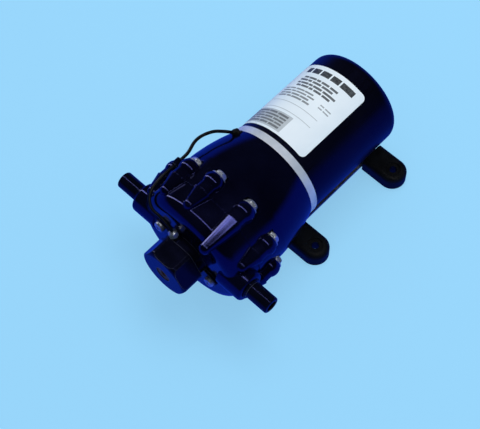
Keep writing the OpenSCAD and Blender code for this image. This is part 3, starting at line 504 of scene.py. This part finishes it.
def end_plate_steel(props):
    """Turned and zinc-plated steel with a bloom.

    Its tool rings are 0.3 mm apart, and are drawn 0.7 mm apart so that they show.
    """
    ring_mm, ring_depth_mm, bloom_mm, edge_mm = 0.7, 0.015, 9, 0.4
    rough = (0.34, 0.46)
    material, tree, place = new_material("turned_zinc_plate")
    part = add_node(tree, "SeparateXYZ", {"Vector": place})
    rings = add_node(tree, "CombineXYZ", {"Y": part.outputs["Y"]})
    tool = add_node(
        tree,
        "TexNoise",
        {"Vector": rings.outputs[0], "Scale": 1 / (ring_mm * MM), "Detail": 2.0},
    )
    cloud = add_node(
        tree, "TexNoise", {"Vector": place, "Scale": 1 / (bloom_mm * MM), "Detail": 3.0}
    )
    bloom = add_node(tree, "MapRange", {"Value": cloud.outputs["Fac"]} | NOISE_SPAN)
    tones = {
        "Factor": bloom.outputs[0],
        "A": rgba(props.ring_metal),
        "B": rgba(linear("#c9cfdc")),
    }
    tone = add_node(tree, "Mix", tones, data_type="RGBA")
    dull = add_node(
        tree, "MapRange", {"Value": bloom.outputs[0], "To Min": rough[0], "To Max": rough[1]}
    )
    edge = add_node(tree, "Bevel", {"Radius": edge_mm * MM}, samples=BEVEL_SAMPLES)
    relief = add_node(
        tree,
        "Bump",
        {
            "Height": tool.outputs["Fac"],
            "Distance": ring_depth_mm * MM,
            "Normal": edge.outputs[0],
        },
    )
    shader = add_node(
        tree,
        "BsdfPrincipled",
        {
            "Base Color": tone.outputs[2],
            "Metallic": 0.45,
            "Roughness": dull.outputs[0],
            "Normal": relief.outputs[0],
        },
    )
    add_node(tree, "OutputMaterial", {"Surface": shader.outputs[0]})
    return material


def galvanised():
    """Hot-dip galvanised sheet: frost flowers 5 to 8 mm across, each with its tone and dullness."""
    flower_mm, pit_mm, pit_depth_mm = 6, 1.5, 0.01
    rough = (0.38, 0.55)
    material, tree, place = new_material("galvanised_sheet")
    flowers = add_node(tree, "TexVoronoi", {"Vector": place, "Scale": 1 / (flower_mm * MM)})
    tone = add_node(tree, "SeparateColor", {"Color": flowers.outputs["Color"]}).outputs["Red"]
    tones = {"Factor": tone, "A": rgba(linear("#9da1a6")), "B": rgba(linear("#c2c6ca"))}
    zinc = add_node(tree, "Mix", tones, data_type="RGBA")
    dull = add_node(tree, "MapRange", {"Value": tone, "To Min": rough[0], "To Max": rough[1]})
    pits = add_node(
        tree, "TexNoise", {"Vector": place, "Scale": 1 / (pit_mm * MM), "Detail": 2.0}
    )
    relief = add_node(
        tree, "Bump", {"Height": pits.outputs["Fac"], "Distance": pit_depth_mm * MM}
    )
    shader = add_node(
        tree,
        "BsdfPrincipled",
        {
            "Base Color": zinc.outputs[2],
            "Metallic": 1.0,
            "Roughness": dull.outputs[0],
            "Normal": relief.outputs[0],
        },
    )
    add_node(tree, "OutputMaterial", {"Surface": shader.outputs[0]})
    return material


def laminations():
    """Stacked silicon-steel sheets with dark oxide lines.

    A sheet is 0.5 mm thick, and is drawn 1 mm thick so that it shows.
    """
    sheet_mm, line_depth_mm = 1.0, 0.05
    rough = (0.55, 0.4)
    material, tree, place = new_material("steel_laminations")
    sheets = add_node(
        tree,
        "TexWave",
        {"Vector": place, "Scale": WAVE_STEP / (sheet_mm * MM)},
        bands_direction="Y",
    )
    tones = {
        "Factor": sheets.outputs["Fac"],
        "A": rgba(linear("#34363a")),
        "B": rgba(linear("#7b7e83")),
    }
    tone = add_node(tree, "Mix", tones, data_type="RGBA")
    dull = add_node(
        tree,
        "MapRange",
        {"Value": sheets.outputs["Fac"], "To Min": rough[0], "To Max": rough[1]},
    )
    relief = add_node(
        tree, "Bump", {"Height": sheets.outputs["Fac"], "Distance": line_depth_mm * MM}
    )
    shader = add_node(
        tree,
        "BsdfPrincipled",
        {
            "Base Color": tone.outputs[2],
            "Metallic": 1.0,
            "Roughness": dull.outputs[0],
            "Normal": relief.outputs[0],
        },
    )
    add_node(tree, "OutputMaterial", {"Surface": shader.outputs[0]})
    return material


def windings():
    """Enamelled copper wire: shiny strands side by side under amber varnish.

    The wire is 0.8 mm thick, and is drawn 1.2 mm thick so that it shows.
    """
    strand_mm, strand_depth_mm = 1.2, 0.3
    rough = (0.42, 0.28)
    material, tree, place = new_material("enamelled_copper")
    strands = add_node(
        tree,
        "TexWave",
        {
            "Vector": place,
            "Scale": WAVE_STEP / (strand_mm * MM),
            "Distortion": 2.0,
            "Detail": 1.0,
        },
        wave_type="RINGS",
        rings_direction="Y",
    )
    tones = {
        "Factor": strands.outputs["Fac"],
        "A": rgba(linear("#5a2c10")),
        "B": rgba(linear("#b8722f")),
    }
    tone = add_node(tree, "Mix", tones, data_type="RGBA")
    dull = add_node(
        tree,
        "MapRange",
        {"Value": strands.outputs["Fac"], "To Min": rough[0], "To Max": rough[1]},
    )
    relief = add_node(
        tree, "Bump", {"Height": strands.outputs["Fac"], "Distance": strand_depth_mm * MM}
    )
    shader = add_node(
        tree,
        "BsdfPrincipled",
        {
            "Base Color": tone.outputs[2],
            "Metallic": 0.8,
            "Roughness": dull.outputs[0],
            "Coat Weight": 0.5,
            "Normal": relief.outputs[0],
        },
    )
    add_node(tree, "OutputMaterial", {"Surface": shader.outputs[0]})
    return material


def make_finishes(props):
    """One material for each slot of the record, and more for nodes that differ from their slot."""
    blue_gloss = {"Specular IOR Level": 1.0, "Specular Tint": rgba(props.gloss)}
    soft_gloss = {"Specular IOR Level": 0.4, "Specular Tint": rgba(props.gloss)}
    low_gloss = {"Specular IOR Level": 0.2}
    return {
        "can_paint": can_enamel(props),
        "label": label_film(props),
        # Ferrite is pressed and sintered: dull slate grey with a fine powdery grain
        "magnet": moulded(
            "sintered_ferrite", linear("#2e3034"), linear("#3b3d42"), rough=(0.5, 0.65),
            skin_mm=0.8, skin_depth_mm=0.02, flow_mm=6,
        ),
        "end_plate": end_plate_steel(props),
        # Phenolic paper is stamped from brown resin sheet: fibrous, warm and half dull
        "card": moulded(
            "phenolic_paper", linear("#4d2f18"), linear("#6b4526"), rough=(0.45, 0.6),
            skin_mm=0.9, skin_depth_mm=0.015, flow_mm=4,
        ),
        # Brush carbon is pressed graphite: black with a soft grey shine where it is rubbed
        "carbon": moulded(
            "brush_carbon", linear("#1c1d20"), linear("#2c2d31"), rough=(0.45, 0.7),
            skin_mm=0.6, skin_depth_mm=0.02, flow_mm=3,
        ),
        # Ground steel is clean mid grey with a soft shine
        "steel": plated(
            "ground_steel", linear("#a9acb1"), linear("#8f9297"), rough=(0.22, 0.34), stain_mm=5
        ),
        "copper": windings(),
        # Glass-filled nylon is moulded: blue-black, glossy where the resin floats up, with faint
        # flow marks, and paler where its edges are rubbed
        "housing": moulded(
            "glass_filled_nylon", props.housing, linear("#040514"), rough=(0.1, 0.16),
            skin_mm=1.1, skin_depth_mm=0.002, flow_mm=22, edge_mm=0.6,
            gloss=blue_gloss, rubbed=linear("#1c1e34"),
        ),
        # Die-cast zinc is dull grey with a cloudy skin
        "cam_alloy": plated(
            "die_cast_zinc", linear("#93969b"), linear("#7e8186"), rough=(0.4, 0.55), stain_mm=4
        ),
        # Natural acetal is milky white and slippery, with a waxy shine
        "pale_plastic": moulded(
            "natural_acetal", linear("#dcd8cb"), linear("#cfcabb"), rough=(0.35, 0.45),
            skin_mm=0.9, skin_depth_mm=0.01, flow_mm=9,
        ),
        # EPDM is moulded rubber: deep matt black with a grey bloom
        "rubber": moulded(
            "black_epdm", props.rubber, linear("#0c0d12"), rough=(0.42, 0.56),
            skin_mm=0.7, skin_depth_mm=0.03, flow_mm=7, edge_mm=0.6, gloss=low_gloss,
        ),
        # Silicone is brick red, soft-edged and half matt
        "valve_rubber": moulded(
            "red_silicone", linear("#6d2417"), linear("#8a3423"), rough=(0.45, 0.6),
            skin_mm=0.8, skin_depth_mm=0.015, flow_mm=6,
        ),
        # Bright zinc plate on small fasteners: silver, faintly blue and milky, with small stains
        "bright_steel": plated(
            "bright_zinc_plate", linear("#d2d6dc"), linear("#bcc4d2"), rough=(0.24, 0.38),
            stain_mm=3, metallic=0.9,
        ),
        # Black acetal is moulded: glossier than rubber, with a fine even grain, and pale edges that are wear and a
        # painted highlight along the switch cap's corners
        "black_plastic": moulded(
            "black_acetal", props.fittings, linear("#070814"), rough=(0.12, 0.18),
            skin_mm=0.9, skin_depth_mm=0.002, flow_mm=12, edge_mm=0.8,
            gloss=soft_gloss, rubbed=linear("#6a6c78"),
        ),
        # Soft PVC sheath is extruded: black, smooth and slightly greasy
        "lead_pvc": moulded(
            "soft_pvc", linear("#040508"), linear("#090b10"), rough=(0.3, 0.42),
            skin_mm=0.7, skin_depth_mm=0.01, flow_mm=9, gloss=low_gloss,
        ),
        # Turned brass is warm yellow, darker where it has tarnished
        "brass": plated(
            "turned_brass", linear("#c79a3e"), linear("#a87b2c"), rough=(0.24, 0.38), stain_mm=3
        ),
        # Brass that tarnished in a damp recess is brown and half dull, with a faint warmth of metal
        "adjuster": plated(
            "tarnished_brass", linear("#7a5c2c"), linear("#5a421f"), rough=(0.38, 0.52),
            stain_mm=3, metallic=0.6,
        ),
        "base_plate": galvanised(),
        "core": laminations(),
    }


# Nodes whose finish differs from their slot's
OWN_FINISH = {"base_plate": "base_plate", "armature_core": "core", "switch_adjuster": "adjuster"}
FINISH_NAMES = {}


def dress(piece, body, slot):
    """Gives a new piece its finish and its body."""
    piece.data.materials.append(bpy.data.materials[FINISH_NAMES[slot]])
    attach(piece, body)


def ring(radius, steps=NUT_STEPS):
    """The same radius at each step round a turned piece."""
    return [radius] * steps


def hexagon(flats):
    """Radii round a hexagon, in steps, from its width across the flats."""
    turns = [math.tau * k / NUT_STEPS for k in range(NUT_STEPS)]
    return [flats / 2 / math.cos(turn % (math.tau / 6) - math.tau / 12) for turn in turns]


def chamfered(corners, radius):
    """A hexagon's radii, with its corners cut back to a circle."""
    return [min(r, radius) for r in corners]


def turned(shape, rows, turn):
    """Adds a closed turned solid to a mesh in the making, placed by a matrix.

    Each row holds a way along the solid's own Z, and the radius at each step round it, both in
    millimetres.
    """
    rings = []
    for along, radii in rows:
        angles = [math.tau * k / len(radii) for k in range(len(radii))]
        corners = [(r * math.cos(a), r * math.sin(a), along) for r, a in zip(radii, angles)]
        rings.append([shape.verts.new(turn @ (Vector(corner) * MM)) for corner in corners])
    for low, high in zip(rings, rings[1:]):
        for k in range(len(low)):
            after = (k + 1) % len(low)
            shape.faces.new((low[k], low[after], high[after], high[k]))
    shape.faces.new(rings[0][::-1])
    shape.faces.new(rings[-1])


def finish_mesh(name, shape, smooth_angle):
    """Makes an object of a mesh in the making, smooth but for edges sharper than an angle."""
    bmesh.ops.recalc_face_normals(shape, faces=shape.faces)
    mesh = bpy.data.meshes.new(name)
    shape.to_mesh(mesh)
    shape.free()
    mesh.shade_smooth()
    mesh.set_sharp_from_angle(angle=math.radians(smooth_angle))
    return link(bpy.data.objects.new(name, mesh))


def smooth_route(points, steps):
    """Points of a smooth curve through the given ones."""
    last = len(points) - 1
    route = []
    for i in range(last):
        a, b, c, d = points[max(i - 1, 0)], points[i], points[i + 1], points[min(i + 2, last)]
        bend, swing = 2 * a - 5 * b + 4 * c - d, 3 * b - a - 3 * c + d
        for s in range(steps):
            t = s / steps
            route.append(0.5 * (2 * b + (c - a) * t + bend * t**2 + swing * t**3))
    return route + [points[last]]


def round_wire(name, route, diameter):
    """A round wire or sheath along a route, as curve data."""
    data = bpy.data.curves.new(name, "CURVE")
    data.dimensions = "3D"
    data.bevel_depth = diameter / 2
    data.bevel_resolution = 4
    data.use_fill_caps = True
    line = data.splines.new("POLY")
    line.points.add(len(route) - 1)
    for point, at in zip(line.points, route):
        point.co = (*at, 1)
    return data


class PumpFinishProps(bpy.types.PropertyGroup):
    can_paint: FloatVectorProperty(
        name="Can paint", description="Colour of the motor can", subtype="COLOR",
        default=linear("#020204"), min=0, max=1,
    )
    housing: FloatVectorProperty(
        name="Housing", description="Colour of drive housing and front cover", subtype="COLOR",
        default=linear("#02020a"), min=0, max=1,
    )
    gloss: FloatVectorProperty(
        name="Gloss", description="Tint of the shine on can, housing and fittings",
        subtype="COLOR", default=linear("#8a90ff"), min=0, max=1,
    )
    fittings: FloatVectorProperty(
        name="Fittings", description="Colour of spigots, switch and clip", subtype="COLOR",
        default=linear("#04050c"), min=0, max=1,
    )
    rubber: FloatVectorProperty(
        name="Rubber", description="Colour of feet, boots and diaphragm", subtype="COLOR",
        default=linear("#060608"), min=0, max=1,
    )
    ring_metal: FloatVectorProperty(
        name="End plate", description="Colour of the bright ring", subtype="COLOR",
        default=linear("#e6eaf2"), min=0, max=1,
    )
    label_film: FloatVectorProperty(
        name="Label", description="Colour of the label's film", subtype="COLOR",
        default=linear("#eef2f6"), min=0, max=1,
    )
    label_ink: FloatVectorProperty(
        name="Ink", description="Colour of the label's rows and bands", subtype="COLOR",
        default=linear("#10131a"), min=0, max=1,
    )


class PumpSizeProps(bpy.types.PropertyGroup):
    lead_d: FloatProperty(
        name="Lead", description="Diameter of the switch lead", unit="LENGTH",
        default=2.4 * MM, min=1 * MM, max=6 * MM,
    )
    lead_steps: IntProperty(
        name="Lead steps", description="Points in each stretch of the lead's route",
        default=8, min=2, max=20,
    )
    nut_flats: FloatProperty(
        name="Nut", description="Width of a clamp nut across its flats", unit="LENGTH",
        default=8.0 * MM, min=6 * MM, max=9 * MM,
    )
    nut_flange: FloatProperty(
        name="Nut flange", description="Diameter of a clamp nut's flange", unit="LENGTH",
        default=12.0 * MM, min=9 * MM, max=13 * MM,
    )
    gland_flats: FloatProperty(
        name="Gland nut", description="Width of the lead's gland nut across its flats",
        unit="LENGTH", default=6.2 * MM, min=5 * MM, max=6.2 * MM,
    )


class PumpStageProps(bpy.types.PropertyGroup):
    azimuth: FloatProperty(
        name="Azimuth", description="Camera's turn to the right of the front", subtype="ANGLE",
        default=math.radians(44.24),
    )
    elevation: FloatProperty(
        name="Elevation", description="Camera's angle above the floor", subtype="ANGLE",
        default=math.radians(61.09),
    )
    roll: FloatProperty(
        name="Roll", description="Camera's turn about its own axis", subtype="ANGLE",
        default=math.radians(-1.0),
    )
    distance: FloatProperty(
        name="Distance", description="From the camera to the point that it was fitted about",
        unit="LENGTH", default=0.8466,
    )
    lens: FloatProperty(
        name="Lens", description="Focal length", subtype="DISTANCE_CAMERA", default=91.63
    )
    floor: FloatVectorProperty(
        name="Floor", description="Colour of the floor", subtype="COLOR",
        default=linear("#9ddafe"), min=0, max=1,
    )
    floor_shine: FloatVectorProperty(
        name="Floor in gloss", description="Colour of the floor where gloss shows it",
        subtype="COLOR", default=linear("#1a40d0"), min=0, max=1,
    )


class PUMP_OT_stage(bpy.types.Operator):
    """Makes the camera, the floor and the studio lights"""

    bl_idname = "pump.stage"
    bl_label = "Stage"

    def execute(self, context):
        stage = context.scene.pump_stage
        self.make_camera(context, stage)
        self.make_floor(stage)
        self.make_lights(context, stage)
        context.scene.view_settings.view_transform = "Standard"
        return {"FINISHED"}

    def make_camera(self, context, stage):
        a, e, r = stage.azimuth, stage.elevation, stage.roll
        back = Vector((math.sin(a) * math.cos(e), -math.cos(a) * math.cos(e), math.sin(e)))
        level = Vector((math.cos(a), math.sin(a), 0))
        right = math.cos(r) * level + math.sin(r) * back.cross(level)
        data = bpy.data.cameras.new("photo_camera")
        data.lens = stage.lens
        data.shift_x = (FRAME_W / 2 - AIM_X) / FRAME_W
        data.shift_y = (AIM_Y - FRAME_H / 2) / FRAME_W
        data.clip_start, data.clip_end = CLIP_NEAR, CLIP_FAR
        camera = link(bpy.data.objects.new("photo_camera", data))
        turn = Matrix((right, back.cross(right), back)).transposed().to_4x4()
        camera.matrix_world = Matrix.Translation(AIM + back * stage.distance) @ turn
        context.scene.camera = camera

    def make_floor(self, stage):
        """Pale paper, even to the camera, that keeps a faint shadow and is deeper blue in gloss."""
        shape = bmesh.new()
        bmesh.ops.create_grid(shape, x_segments=1, y_segments=1, size=FLOOR_HALF)
        floor = finish_mesh("floor", shape, SHARP)
        material, tree, _ = new_material("pale_paper")
        rays = add_node(tree, "LightPath")
        paper = add_node(tree, "BsdfDiffuse", {"Color": rgba(stage.floor)})
        bright = add_node(tree, "Emission", {"Color": rgba(stage.floor)})
        shine = add_node(tree, "Emission", {"Color": rgba(stage.floor_shine)})
        even = add_node(
            tree, "MixShader", {0: FLOOR_GLOW, 1: paper.outputs[0], 2: bright.outputs[0]}
        )
        seen = add_node(
            tree,
            "MixShader",
            {0: rays.outputs["Is Camera Ray"], 1: paper.outputs[0], 2: even.outputs[0]},
        )
        surface = add_node(
            tree,
            "MixShader",
            {0: rays.outputs["Is Glossy Ray"], 1: seen.outputs[0], 2: shine.outputs[0]},
        )
        add_node(tree, "OutputMaterial", {"Surface": surface.outputs[0]})
        floor.data.materials.append(material)

    def make_lights(self, context, stage):
        world = bpy.data.worlds.new("studio")
        world.use_nodes = True
        tree = world.node_tree
        tree.nodes.clear()
        rays = add_node(tree, "LightPath")
        sky = add_node(tree, "TexCoord").outputs["Generated"]
        look = add_node(tree, "SeparateXYZ", {"Vector": sky})
        # The paper's colour fades upwards into a white ceiling, in gloss its shine into a dark one
        rise = add_node(tree, "MapRange", {"Value": look.outputs["Z"]})
        tones = {"Factor": rise.outputs[0], "A": rgba(stage.floor), "B": WHITE}
        pale = add_node(tree, "Mix", tones, data_type="RGBA")
        soft = add_node(tree, "Background", {"Color": pale.outputs[2], "Strength": SOFT_LIGHT})
        fade = add_node(tree, "MapRange", {"Value": look.outputs["Z"], "From Max": SHINE_TOP})
        tones = {
            "Factor": fade.outputs[0],
            "A": rgba(stage.floor_shine),
            "B": rgba(linear("#161621")),
        }
        room = add_node(tree, "Mix", tones, data_type="RGBA")
        dark = add_node(tree, "Background", {"Color": room.outputs[2], "Strength": 1.0})
        either = add_node(
            tree,
            "MixShader",
            {0: rays.outputs["Is Glossy Ray"], 1: soft.outputs[0], 2: dark.outputs[0]},
        )
        add_node(tree, "OutputWorld", {"Surface": either.outputs[0]})
        context.scene.world = world
        for name, spot, size, power, only_gloss in STUDIO_LIGHTS:
            data = bpy.data.lights.new(name, "AREA")
            data.shape = "RECTANGLE"
            data.size, data.size_y = size
            data.energy = power
            lamp = link(bpy.data.objects.new(name, data))
            lamp.location = spot
            # Each lamp looks straight across the pump's axis, so that a strip lies in one plane
            across = Vector((AXIS.x, spot[1], AXIS.z)) - Vector(spot)
            lamp.rotation_euler = across.to_track_quat("-Z", "Y").to_euler()
            lamp.visible_glossy = only_gloss
            lamp.visible_diffuse = not only_gloss


class PUMP_OT_finishes(bpy.types.Operator):
    """Makes a finish for each material and puts it on the solids"""

    bl_idname = "pump.finishes"
    bl_label = "Finishes"

    def execute(self, context):
        made = make_finishes(context.scene.pump_finish)
        FINISH_NAMES.update({slot: material.name for slot, material in made.items()})
        slots = {row["node"]: row["material_slot"] for row in frame["record"]["subparts"]}
        for name, solid in frame["nodes"].items():
            key = OWN_FINISH.get(name) or slots[name]
            solid.data.materials.clear()
            solid.data.materials.append(made[key])
        return {"FINISHED"}


class PUMP_OT_lead(bpy.types.Operator):
    """Lays the switch lead as a smooth round sheath along its route"""

    bl_idname = "pump.lead"
    bl_label = "Switch lead"

    def execute(self, context):
        sizes = context.scene.pump_sizes
        route = smooth_route([on_axis(*p) for p in LEAD_ROUTE], sizes.lead_steps)
        data = round_wire("lead_sheath", route, sizes.lead_d)
        lead = link(bpy.data.objects.new("lead_sheath", data))
        dress(lead, HULL_BODY, "lead_pvc")
        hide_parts("switch_lead")
        return {"FINISHED"}


class PUMP_OT_nuts(bpy.types.Operator):
    """Turns the flange nuts of the clamp screws, with chamfered corners and a sloping flange"""

    bl_idname = "pump.nuts"
    bl_label = "Clamp nuts"

    def execute(self, context):
        sizes = context.scene.pump_sizes
        flats, flange = sizes.nut_flats / MM, sizes.nut_flange / MM
        depth = (NUTS_HIGH.y - NUTS_LOW.y) / MM
        corners = hexagon(flats)
        bore_r = 2.6
        # Heights in millimetres: the flange's rim and slope, the hexagon's root and its full width
        rim, slope, root, full = 0.7, 1.2, 1.7, 1.9
        # How far below the top the hexagon's two chamfers begin
        first, second = 0.8, 0.4
        # How far the slope draws in, how far cut corners stand past the flats, and how far the top
        # lies inside them
        slope_in, root_past, second_past, top_in = 0.6, 0.45, 0.25, 0.2
        rows = [
            (0, ring(bore_r)),
            (0, ring(flange / 2)),
            (rim, ring(flange / 2)),
            (slope, ring(flange / 2 - slope_in)),
            (root, chamfered(corners, flats / 2 + root_past)),
            (full, corners),
            (depth - first, corners),
            (depth - second, chamfered(corners, flats / 2 + second_past)),
            (depth, ring(flats / 2 - top_in)),
            (depth, ring(bore_r)),
        ]
        seat = (AXIS.y - NUTS_LOW.y) / MM
        shape = bmesh.new()
        for clock in SCREW_CLOCKS:
            at = Matrix.Translation(on_axis(clock, SCREW_R, seat))
            spin = Matrix.Rotation(math.radians(clock), 4, "Z")
            turned(shape, rows, at @ ALONG_AXIS @ spin)
        nuts = finish_mesh("flange_nuts", shape, NUT_SHARP)
        dress(nuts, HULL_BODY, "bright_steel")
        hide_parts("clamp_nuts")
        return {"FINISHED"}


class PUMP_OT_boots(bpy.types.Operator):
    """Turns the ribbed rubber boots where the lead leaves the switch and enters the bell"""

    bl_idname = "pump.boots"
    bl_label = "Lead boots"

    def execute(self, context):
        shape = bmesh.new()
        for clock, radius, station, tilt, profile in LEAD_BOOTS:
            rows = [(along, ring(r, BOOT_STEPS)) for along, r in profile]
            at = Matrix.Translation(on_axis(clock, radius, station))
            # The boot's own Z leans from the pump's axis towards the outside
            lean = (
                Matrix.Rotation(math.radians(clock), 4, "Y")
                @ Matrix.Rotation(math.radians(90 - tilt), 4, "X")
            )
            turned(shape, rows, at @ lean)
        boots = finish_mesh("lead_boots", shape, SHARP)
        dress(boots, HULL_BODY, "rubber")
        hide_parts("lead_glands")
        return {"FINISHED"}


class PUMP_OT_gland_nut(bpy.types.Operator):
    """Turns the bright hexagonal nut that grips the lead where it leaves the switch"""

    bl_idname = "pump.gland_nut"
    bl_label = "Gland nut"

    def execute(self, context):
        clock, radius, station = GLAND_NUT
        flats = context.scene.pump_sizes.gland_flats / MM
        corners = hexagon(flats)
        # Heights in millimetres: the hexagon's two chamfers, and the cone that closes on the lead
        length, low, full = 5.0, 0.35, 0.6
        full_to, high, cone = length - 1.5, length - 1.2, length - 0.9
        # How far faces lie inside the flats, and how far cut corners stand past them
        foot_in, cone_in, tip_in, corner_past = 0.15, 0.3, 1.2, 0.2
        rows = [
            (0, ring(flats / 2 - foot_in)),
            (low, chamfered(corners, flats / 2 + corner_past)),
            (full, corners),
            (full_to, corners),
            (high, chamfered(corners, flats / 2 + corner_past)),
            (cone, ring(flats / 2 - cone_in)),
            (length, ring(flats / 2 - tip_in)),
        ]
        shape = bmesh.new()
        at = Matrix.Translation(on_axis(clock, radius, station))
        outwards = Matrix.Rotation(math.radians(clock), 4, "Y")
        # A flat of the nut lies towards the cover
        flat_down = Matrix.Rotation(math.tau / 12, 4, "Z")
        turned(shape, rows, at @ outwards @ flat_down)
        nut = finish_mesh("gland_nut", shape, NUT_SHARP)
        dress(nut, HULL_BODY, "bright_steel")
        return {"FINISHED"}


class PUMP_OT_spring(bpy.types.Operator):
    """Winds the switch spring, which shortens towards the adjuster as the plunger comes forward"""

    bl_idname = "pump.spring"
    # """Winds the switch spring as a round steel wire over the length of the solid it replaces"""
    bl_label = "Switch spring"

    def execute(self, context):
        rear = (AXIS.y - SPRING_HIGH.y) / MM + SPRING_WIRE / 2
        length = (SPRING_HIGH.y - SPRING_LOW.y) / MM
        count = SPRING_TURNS * SPRING_STEPS
        rise = (length - SPRING_WIRE) / count
        clocks = [SPRING_CLOCK - 360 * i / SPRING_STEPS for i in range(count + 1)]
        route = [on_axis(clock, SPRING_R, rear + rise * i) for i, clock in enumerate(clocks)]
        data = round_wire("switch_coil", route, SPRING_WIRE * MM)
        path = bpy.data.objects.new("switch_coil", data)
        mesh = bpy.data.meshes.new_from_object(path)
        bpy.data.objects.remove(path)
        mesh.shade_smooth()
        coil = link(bpy.data.objects.new("switch_coil", mesh))
        dress(coil, HULL_BODY, "steel")
        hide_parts("switch_spring")
        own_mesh(coil)
        return {"FINISHED"}


class PUMP_OT_diaphragm(bpy.types.Operator):
    """Parts the diaphragm where its rubber flexes, so that its pads ride with the wobble plate"""

    bl_idname = "pump.diaphragm"
    bl_label = "Diaphragm"

    def execute(self, context):
        self.cut(context, "diaphragm_sheet", HULL_BODY, PAD_R + PAD_SLIT / 2, "DIFFERENCE")
        self.cut(context, "diaphragm_pads", WOBBLE_BODY, PAD_R - PAD_SLIT / 2, "INTERSECT")
        return {"FINISHED"}

    def cut(self, context, name, body, radius, operation):
        """Cuts a copy of the rubber with a round tool at each pad."""
        reach = (DIAPHRAGM_HIGH.y - DIAPHRAGM_LOW.y) / MM
        middle = (AXIS.y - (DIAPHRAGM_LOW.y + DIAPHRAGM_HIGH.y) / 2) / MM
        rows = [(along, ring(radius, CUT_STEPS)) for along in (-reach, reach)]
        shape = bmesh.new()
        for clock in PAD_CLOCKS:
            at = Matrix.Translation(on_axis(clock, PAD_CIRCLE_R, middle))
            turned(shape, rows, at @ ALONG_AXIS)
        tool = finish_mesh("cutting_tool", shape, SHARP)
        whole = bmesh.new()
        whole.from_mesh(frame["nodes"]["diaphragm"].data)
        bmesh.ops.remove_doubles(whole, verts=whole.verts, dist=WELD)
        rubber = finish_mesh(name, whole, SHARP)
        step = rubber.modifiers.new("cut", "BOOLEAN")
        step.object, step.operation, step.solver = tool, operation, "EXACT"
        result = rubber.evaluated_get(context.evaluated_depsgraph_get())
        made = bpy.data.meshes.new_from_object(result)
        for done in (rubber, tool):
            bpy.data.objects.remove(done)
        shape = bmesh.new()
        shape.from_mesh(made)
        bmesh.ops.remove_doubles(shape, verts=shape.verts, dist=WELD)
        bmesh.ops.dissolve_degenerate(shape, edges=shape.edges, dist=WELD)
        piece = finish_mesh(name, shape, SHARP)
        dress(piece, body, "rubber")
        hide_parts("diaphragm")


class PUMP_PT_sidebar(bpy.types.Panel):
    """Lists the pump's operators and settings"""

    bl_idname = "PUMP_PT_sidebar"
    bl_label = "Pump"
    bl_space_type = "VIEW_3D"
    bl_region_type = "UI"
    bl_category = "Pump"

    def draw(self, context):
        scene = context.scene
        for step in STEPS:
            self.layout.operator(step)
        for group in (scene.pump_finish, scene.pump_sizes, scene.pump_stage):
            box = self.layout.box()
            for name in group.__annotations__:
                box.prop(group, name)


# Operators in the order in which they run
STEPS = (
    "pump.stage", "pump.finishes", "pump.lead", "pump.boots", "pump.gland_nut", "pump.nuts",
    "pump.spring", "pump.diaphragm",
)
CLASSES = (
    PumpFinishProps, PumpSizeProps, PumpStageProps,
    PUMP_OT_stage, PUMP_OT_finishes, PUMP_OT_lead, PUMP_OT_boots, PUMP_OT_gland_nut, PUMP_OT_nuts,
    PUMP_OT_spring, PUMP_OT_diaphragm, PUMP_PT_sidebar,
)


def register():
    for cls in CLASSES:
        bpy.utils.register_class(cls)
    bpy.types.Scene.pump_finish = PointerProperty(type=PumpFinishProps)
    bpy.types.Scene.pump_sizes = PointerProperty(type=PumpSizeProps)
    bpy.types.Scene.pump_stage = PointerProperty(type=PumpStageProps)


def unregister():
    del bpy.types.Scene.pump_stage
    del bpy.types.Scene.pump_sizes
    del bpy.types.Scene.pump_finish
    for cls in reversed(CLASSES):
        bpy.utils.unregister_class(cls)


def main():
    register()
    for step in STEPS:
        group, name = step.split(".")
        getattr(getattr(bpy.ops, group), name)()


if __name__ == "__main__":
    main()
